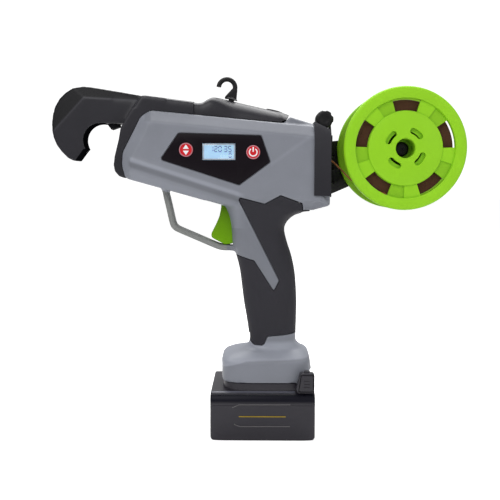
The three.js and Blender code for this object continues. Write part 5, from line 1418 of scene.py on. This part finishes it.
class VINE_OT_controls(bpy.types.Operator):
    """Make the control panel with its display and buttons, and the trigger"""
    bl_idname = "vine.controls"
    bl_label = "Controls"

    def execute(self, context):
        face = plate(PANEL, PANEL_FACE, PANEL_FACE + 1.3, 0.35, 2)
        holes = [through(place, 5.75, 64) for place in (ADJUST, POWER)]
        put("panel", cut(face, box(*WINDOW), *holes), "panel_gloss", stands_for=("control_panel",))
        self.display()
        for name, place in (("adjust_button", ADJUST), ("power_button", POWER)):
            put(name + "_cap", self.button(place), "button_red", name, (name,))
            ring = turned([(4.75, -27.7), (4.8, -28.05), (5.3, -28.05), (5.4, -27.7)], place, 64)
            put(name + "_ring", ring, "mark_ring", name)
        self.symbols()
        put("trigger_lever", self.trigger(), "trigger_green", "trigger", ("trigger",))
        put("trigger_coil", self.trigger_coil(), "steel", stands_for=("trigger_spring",))
        return {"FINISHED"}

    @staticmethod
    def button(place):
        """A round cap on a wider foot, with its stem."""
        return disc_solid([(0, -27.8), (5.2, -27.8), (5.4, -27.6), (5.4, -25.9), (6.5, -25.9), (6.5, -24.9),
                           (2.0, -24.9), (2.0, -23.0), (0, -23.0)], place, 64)

    @staticmethod
    def symbols():
        """Two arrow heads on the one button; an open ring and a bar on the other."""
        x, z = ADJUST
        for k, side in enumerate((-1, 1)):
            foot = z + side * 0.7
            marks = [(x - 2.4, foot, 0.2), (x + 2.4, foot, 0.2), (x, z + side * 4.1, 0.2)]
            put("adjust_mark_" + str(k + 1), prism(marks, *MARK_FACE), "mark_white", "adjust_button")
        x, z = POWER
        middle, sweep, parts = math.radians(90) + math.pi, math.radians(290), 24
        arc = [around(radius, middle + order * sweep * (k / parts - 0.5), POWER)
               for radius, order in ((3.5, 1), (2.6, -1)) for k in range(parts + 1)]
        bar = [(x - 0.5, z + 0.2, 0.2), (x + 0.5, z + 0.2, 0.2), (x + 0.5, z + 4.1, 0.2),
               (x - 0.5, z + 4.1, 0.2)]
        for k, outline in enumerate((arc, bar)):
            put("power_mark_" + str(k + 1), prism(outline, *MARK_FACE), "mark_white", "power_button")

    @staticmethod
    def display():
        """The lit module with a pale rim, its window, and plain numbers of no meaning."""
        put("display", refined("lcd_module", 0.3), "lcd", stands_for=("lcd_module",))
        put("display_rim", cut(box(*RIM_OUTSIDE), box(*RIM_INSIDE)), "mark_white")
        put("display_glass", refined("display_window", 0.2), "window_clear", stands_for=("display_window",))
        for k, (digit, x, z, size) in enumerate(DIGITS):
            bars = [prism(bar, *DIGIT_FACE) for bar in segments(digit, x, z, size)]
            put("digit_%d" % (k + 1), join(*bars), "lcd_digit")

    @staticmethod
    def trigger():
        """The lever, with its bore and with room for the spring round the pin."""
        body = blended(prism(TRIGGER, -TRIGGER_HALF, TRIGGER_HALF), 0.55 * MM)
        relax(body, 16)
        return cut(body, through(TRIGGER_PIN, 1.8), pin(TRIGGER_PIN, 3.6, -1.9, 1.9, 40), box(*SPRING_ROOM))

    @staticmethod
    def trigger_coil():
        """The trigger's spring: a coil of one and a half turns between two legs."""
        (x, z), half, parts = TRIGGER_PIN, 1.1, 36
        points = [(x + 3.2, -half, z - 2.9)]
        for i in range(parts + 1):
            along, up = around(2.9, -math.pi / 2 - math.radians(15 * i), TRIGGER_PIN)
            points.append((along, -half + 2 * half * i / parts, up))
        points.append((x + 4.5, half, z + 2.9))
        return tube(points, 0.4, 10)


def segments(digit, x, z, size):
    """The outlines of the bars that a seven-bar number lights."""
    wide, half = size * 0.5, size * 0.13 / 2
    bars = []
    for name in LIT[digit]:
        (x0, z0), (x1, z1) = [(x + along * wide, z + up * size) for along, up in BARS[name]]
        if z0 == z1:
            bars.append([(x0, z0 - half), (x1, z0 - half), (x1, z0 + half), (x0, z0 + half)])
        else:
            low, high = z0 + 2 * half, z1 - 2 * half
            bars.append([(x0 - half, low), (x0 + half, low), (x0 + half, high), (x0 - half, high)])
    return bars


# Battery pack

BLOCK = (84.3, 74.8, 39.0)
CASE_TOP, LID_FOOT = 28.9, 29.1
CELL_ROOM = ((-39.9, 39.9), (-35.2, 35.2), (2.3, 36.6))
LID_ROOM = ((-21.7, 36.3), (-16.3, 16.3), (30.0, 51.8))
COLLAR_ROWS = ((36.0, -33.4, 41.4, 30.2, 4.2), (41.5, -33.0, 41.4, 29.9, 4.2),
               (44.4, -32.4, 41.4, 29.4, 4.2), (44.7, -32.0, 41.2, 29.0, 4.2))
DOCK = (((-23.9, 38.5), (-18.5, 18.5), (38.0, 48.6)), ((-23.9, 38.5), (-22.0, 22.0), (48.5, 54.0)))
CONTACTS = (-8, 0, 8)
EAR = ((27.9, 38.9, 2), (41.5, 38.9, 1), (41.5, 55.5, 2.2), (30.0, 55.5, 2.2), (26.7, 42.5, 2))
NUB = ((32.6, 54.0, 0), (38.2, 54.0, 0), (37.4, 57.0, 1), (33.4, 57.0, 1))
POCKET = ((28.5, 39.9, 1), (40.9, 39.9, 1), (40.9, 54.1, 1), (30.6, 54.1, 1))
RELEASE = ((28.9, 40.4, 1), (40.4, 40.4, 1), (40.4, 53.6, 1), (31.1, 53.6, 1))
RIBS = (44.2, 46.6, 49.0)
PACK_SIDE = -37.3


class VINE_OT_pack(bpy.types.Operator):
    """Make the battery pack with its release buttons"""
    bl_idname = "vine.pack"
    bl_label = "Battery pack"

    def execute(self, context):
        whole = self.block(sizes("pack"))
        inner = box(*CELL_ROOM)
        case = cut(common(whole.copy(), box(WIDE, WIDE, (-1.0, CASE_TOP))), inner.copy())
        put("pack_case", case, "pack_plastic", "battery", ("battery_case",))
        lid = cut(whole, box(WIDE, WIDE, (-1.0, LID_FOOT)))
        dock = join(*[box(*part) for part in DOCK])
        ears = [self.ear(side) for side in (-1, 1)]
        pockets = [prism(POCKET, *across(side, 33.1, 40.0)) for side in (-1, 1)]
        contacts = [box((-40, -19.5), (y - 1, y + 1), (48.2, 52.9)) for y in CONTACTS]
        lid = cut(join(lid, loft(COLLAR_ROWS, 72), dock, *ears), inner, box(*LID_ROOM), *pockets, *contacts)
        put("pack_lid", lid, "pack_plastic", "battery", ("battery_lid",))
        for side, name in SIDES:
            put("release_" + name + "_cap", self.release(side), "pack_plastic", "release_" + name,
                ("release_button_" + name,))
        line = box((-19.1, 18.5), (PACK_SIDE - 0.32, PACK_SIDE), (19.55, 20.25))
        put("pack_line", line, "yellow_line", "battery")
        # The raised lines' pale grey is a painted highlight along them.
        for k, points in enumerate(CONTOURS):
            put("pack_contour_%d" % (k + 1), self.contour(points), "mark_grey", "battery")
        return {"FINISHED"}

    @staticmethod
    def block(s):
        """The pack's block: first its cross edges below, then its upper edges, its ends and its foot."""
        bm = new_shape()
        bmesh.ops.create_cube(bm, size=1.0)
        bmesh.ops.scale(bm, verts=bm.verts, vec=at(*BLOCK))
        moved(bm, at(0, 0, BLOCK[2] / 2))

        def low(edge):
            return all(v.co.z < 0.0001 for v in edge.verts)

        def spread(edge, axis):
            return abs(edge.verts[0].co[axis] - edge.verts[1].co[axis])

        soften(bm, [e for e in bm.edges if low(e) and spread(e, 1) > 0.05], mm(s.foot_round), 5)
        top = [e for e in bm.edges if all(v.co.z > 0.0389 for v in e.verts) and spread(e, 0) > 0.05]
        soften(bm, top, mm(s.top_round), 12)
        soften(bm, [e for e in sharp_edges(bm, 0.5) if not low(e)], 1.6, 4)
        soften(bm, [e for e in sharp_edges(bm, 0.5) if low(e)], 1.2, 3)
        return bm

    @staticmethod
    def contour(line):
        """A fine raised line on the pack's side, whose pale grey is a painted highlight."""
        bars = []
        for (x0, z0), (x1, z1) in zip(line, line[1:]):
            way = Vector((x1 - x0, z1 - z0)).normalized()
            nx, nz = -way.y * 0.28, way.x * 0.28
            bars.append(prism([(x0 + nx, z0 + nz), (x0 - nx, z0 - nz), (x1 - nx, z1 - nz),
                               (x1 + nx, z1 + nz)], PACK_SIDE - 0.4, PACK_SIDE))
        return join(*bars)

    @staticmethod
    def ear(side):
        """A cheek at the pack's rear corner, with a nub on top."""
        return join(plate(EAR, *across(side, 31.3, 37.5), 0.9),
                    plate(NUB, *across(side, 32.0, 36.2), 0.4, 2))

    @staticmethod
    def release(side):
        """The ribbed tab in the cheek's pocket."""
        ribs = [box((33.0, 38.0), across(side, 36.9, 40), (z - 0.4, z + 0.4)) for z in RIBS]
        return cut(plate(RELEASE, *across(side, 35.4, 37.45), 0.5), *ribs)


class VINE_OT_inner(bpy.types.Operator):
    """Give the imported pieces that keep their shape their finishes"""
    bl_idname = "vine.inner"
    bl_label = "Carried pieces"

    def execute(self, context):
        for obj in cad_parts.values():
            if not obj.hide_render:
                packed = obj.material_slots[0].material.name.split(".")[0]
                obj.material_slots[0].material = material(packed)
        return {"FINISHED"}


# Stage: each lamp's name, place, size and power in metres and watts, and what they are aimed at

LAMPS = (("key_lamp", (-0.45, -0.85, 0.95), 0.8, 6.0),
         ("fill_lamp", (0.75, -0.85, 0.55), 0.8, 2.0),
         ("top_lamp", (0.0, 0.30, 1.0), 0.9, 12.0))
LAMP_AIM = (0, 0, 0.17)
FLOOR_RADIUS = 9.0
FLOOR_GLOW = 0.62
WORLD_LIGHT, WORLD_SEEN = 0.5, 0.6

# The camera that was recovered from the photograph: place in millimetres, turn in degrees, lens and film.
CAMERA_AT = (-2.78, -600.0, 208.58)
CAMERA_TURN = (90 - 5.5057, 0, 0.7445)
LENS, FILM = 51.84, 36.0


class VINE_OT_stage(bpy.types.Operator):
    """Make the floor, the backdrop, the lamps and the camera"""
    bl_idname = "vine.stage"
    bl_label = "Stage"

    def execute(self, context):
        self.floor()
        self.lamps(context)
        self.camera(context)
        context.scene.view_settings.view_transform = "Standard"
        return {"FINISHED"}

    @staticmethod
    def floor():
        """A pale floor that keeps the shadow and looks white to the camera."""
        bm = new_shape()
        bmesh.ops.create_circle(bm, cap_ends=True, segments=64, radius=FLOOR_RADIUS)
        mesh = bpy.data.meshes.new("floor")
        bm.to_mesh(mesh)
        bm.free()
        obj = bpy.data.objects.new("floor", mesh)
        bpy.context.scene.collection.objects.link(obj)
        look = Look("floor", roughness=0.9, emission_color=(1, 1, 1), specular_ior_level=0.0)
        look.feed("Base Color", tuple(sizes("colours").backdrop))
        seen = look.node("ShaderNodeLightPath")["Is Camera Ray"]
        look.feed("Emission Strength", seen * FLOOR_GLOW)
        obj.data.materials.append(look.material)

    @staticmethod
    def lamps(context):
        """A soft world that the camera sees as white, and three area lamps."""
        world = bpy.data.worlds.new("studio")
        world.use_nodes = True
        tree, background = world.node_tree, world.node_tree.nodes["Background"]
        background.inputs["Color"].default_value = (1, 1, 1, 1)
        path = tree.nodes.new("ShaderNodeLightPath")
        strength = tree.nodes.new("ShaderNodeMath")
        strength.operation = "MULTIPLY_ADD"
        tree.links.new(path.outputs["Is Camera Ray"], strength.inputs[0])
        strength.inputs[1].default_value = WORLD_SEEN
        strength.inputs[2].default_value = WORLD_LIGHT
        tree.links.new(strength.outputs[0], background.inputs["Strength"])
        context.scene.world = world
        for name, place, size, power in LAMPS:
            lamp = bpy.data.lights.new(name, "AREA")
            lamp.size = size
            lamp.energy = power
            obj = bpy.data.objects.new(name, lamp)
            obj.location = place
            aim = Vector(LAMP_AIM) - Vector(place)
            obj.rotation_euler = aim.to_track_quat("-Z", "Y").to_euler()
            context.scene.collection.objects.link(obj)

    @staticmethod
    def camera(context):
        lens = bpy.data.cameras.new("camera")
        lens.sensor_width = FILM
        lens.lens = LENS
        obj = bpy.data.objects.new("camera", lens)
        obj.location = at(*CAMERA_AT)
        obj.rotation_euler = [math.radians(turn) for turn in CAMERA_TURN]
        context.scene.collection.objects.link(obj)
        context.scene.camera = obj


# The add-on: its steps in order, its groups of sizes and colours, and its panel

OPERATORS = (VINE_OT_body, VINE_OT_nose, VINE_OT_hood, VINE_OT_reel, VINE_OT_carrier, VINE_OT_controls,
             VINE_OT_pack, VINE_OT_inner, VINE_OT_stage)
GROUPS = {"body": BodySizes, "nose": NoseSizes, "reel": ReelSizes, "pack": PackSizes, "colours": Colours}


class VINE_PT_panel(bpy.types.Panel):
    """Lists the steps that dress the vine tying tool"""
    bl_idname = "VINE_PT_panel"
    bl_label = "Vine tying tool"
    bl_space_type = "VIEW_3D"
    bl_region_type = "UI"
    bl_category = "Vine tool"

    def draw(self, context):
        for operator in OPERATORS:
            self.layout.operator(operator.bl_idname)
        for name in GROUPS:
            column = self.layout.column()
            group = sizes(name)
            for prop in group.bl_rna.properties:
                if prop.identifier not in ("rna_type", "name"):
                    column.prop(group, prop.identifier)


def register():
    for group in GROUPS.values():
        bpy.utils.register_class(group)
    for name, group in GROUPS.items():
        setattr(bpy.types.Scene, "vine_" + name, PointerProperty(type=group))
    for operator in OPERATORS:
        bpy.utils.register_class(operator)
    bpy.utils.register_class(VINE_PT_panel)


def unregister():
    bpy.utils.unregister_class(VINE_PT_panel)
    for operator in reversed(OPERATORS):
        bpy.utils.unregister_class(operator)
    for name in GROUPS:
        delattr(bpy.types.Scene, "vine_" + name)
    for group in reversed(list(GROUPS.values())):
        bpy.utils.unregister_class(group)


def main():
    register()
    for operator in OPERATORS:
        step = operator.bl_idname.split(".")[1]
        getattr(bpy.ops.vine, step)()


if __name__ == "__main__":
    main()
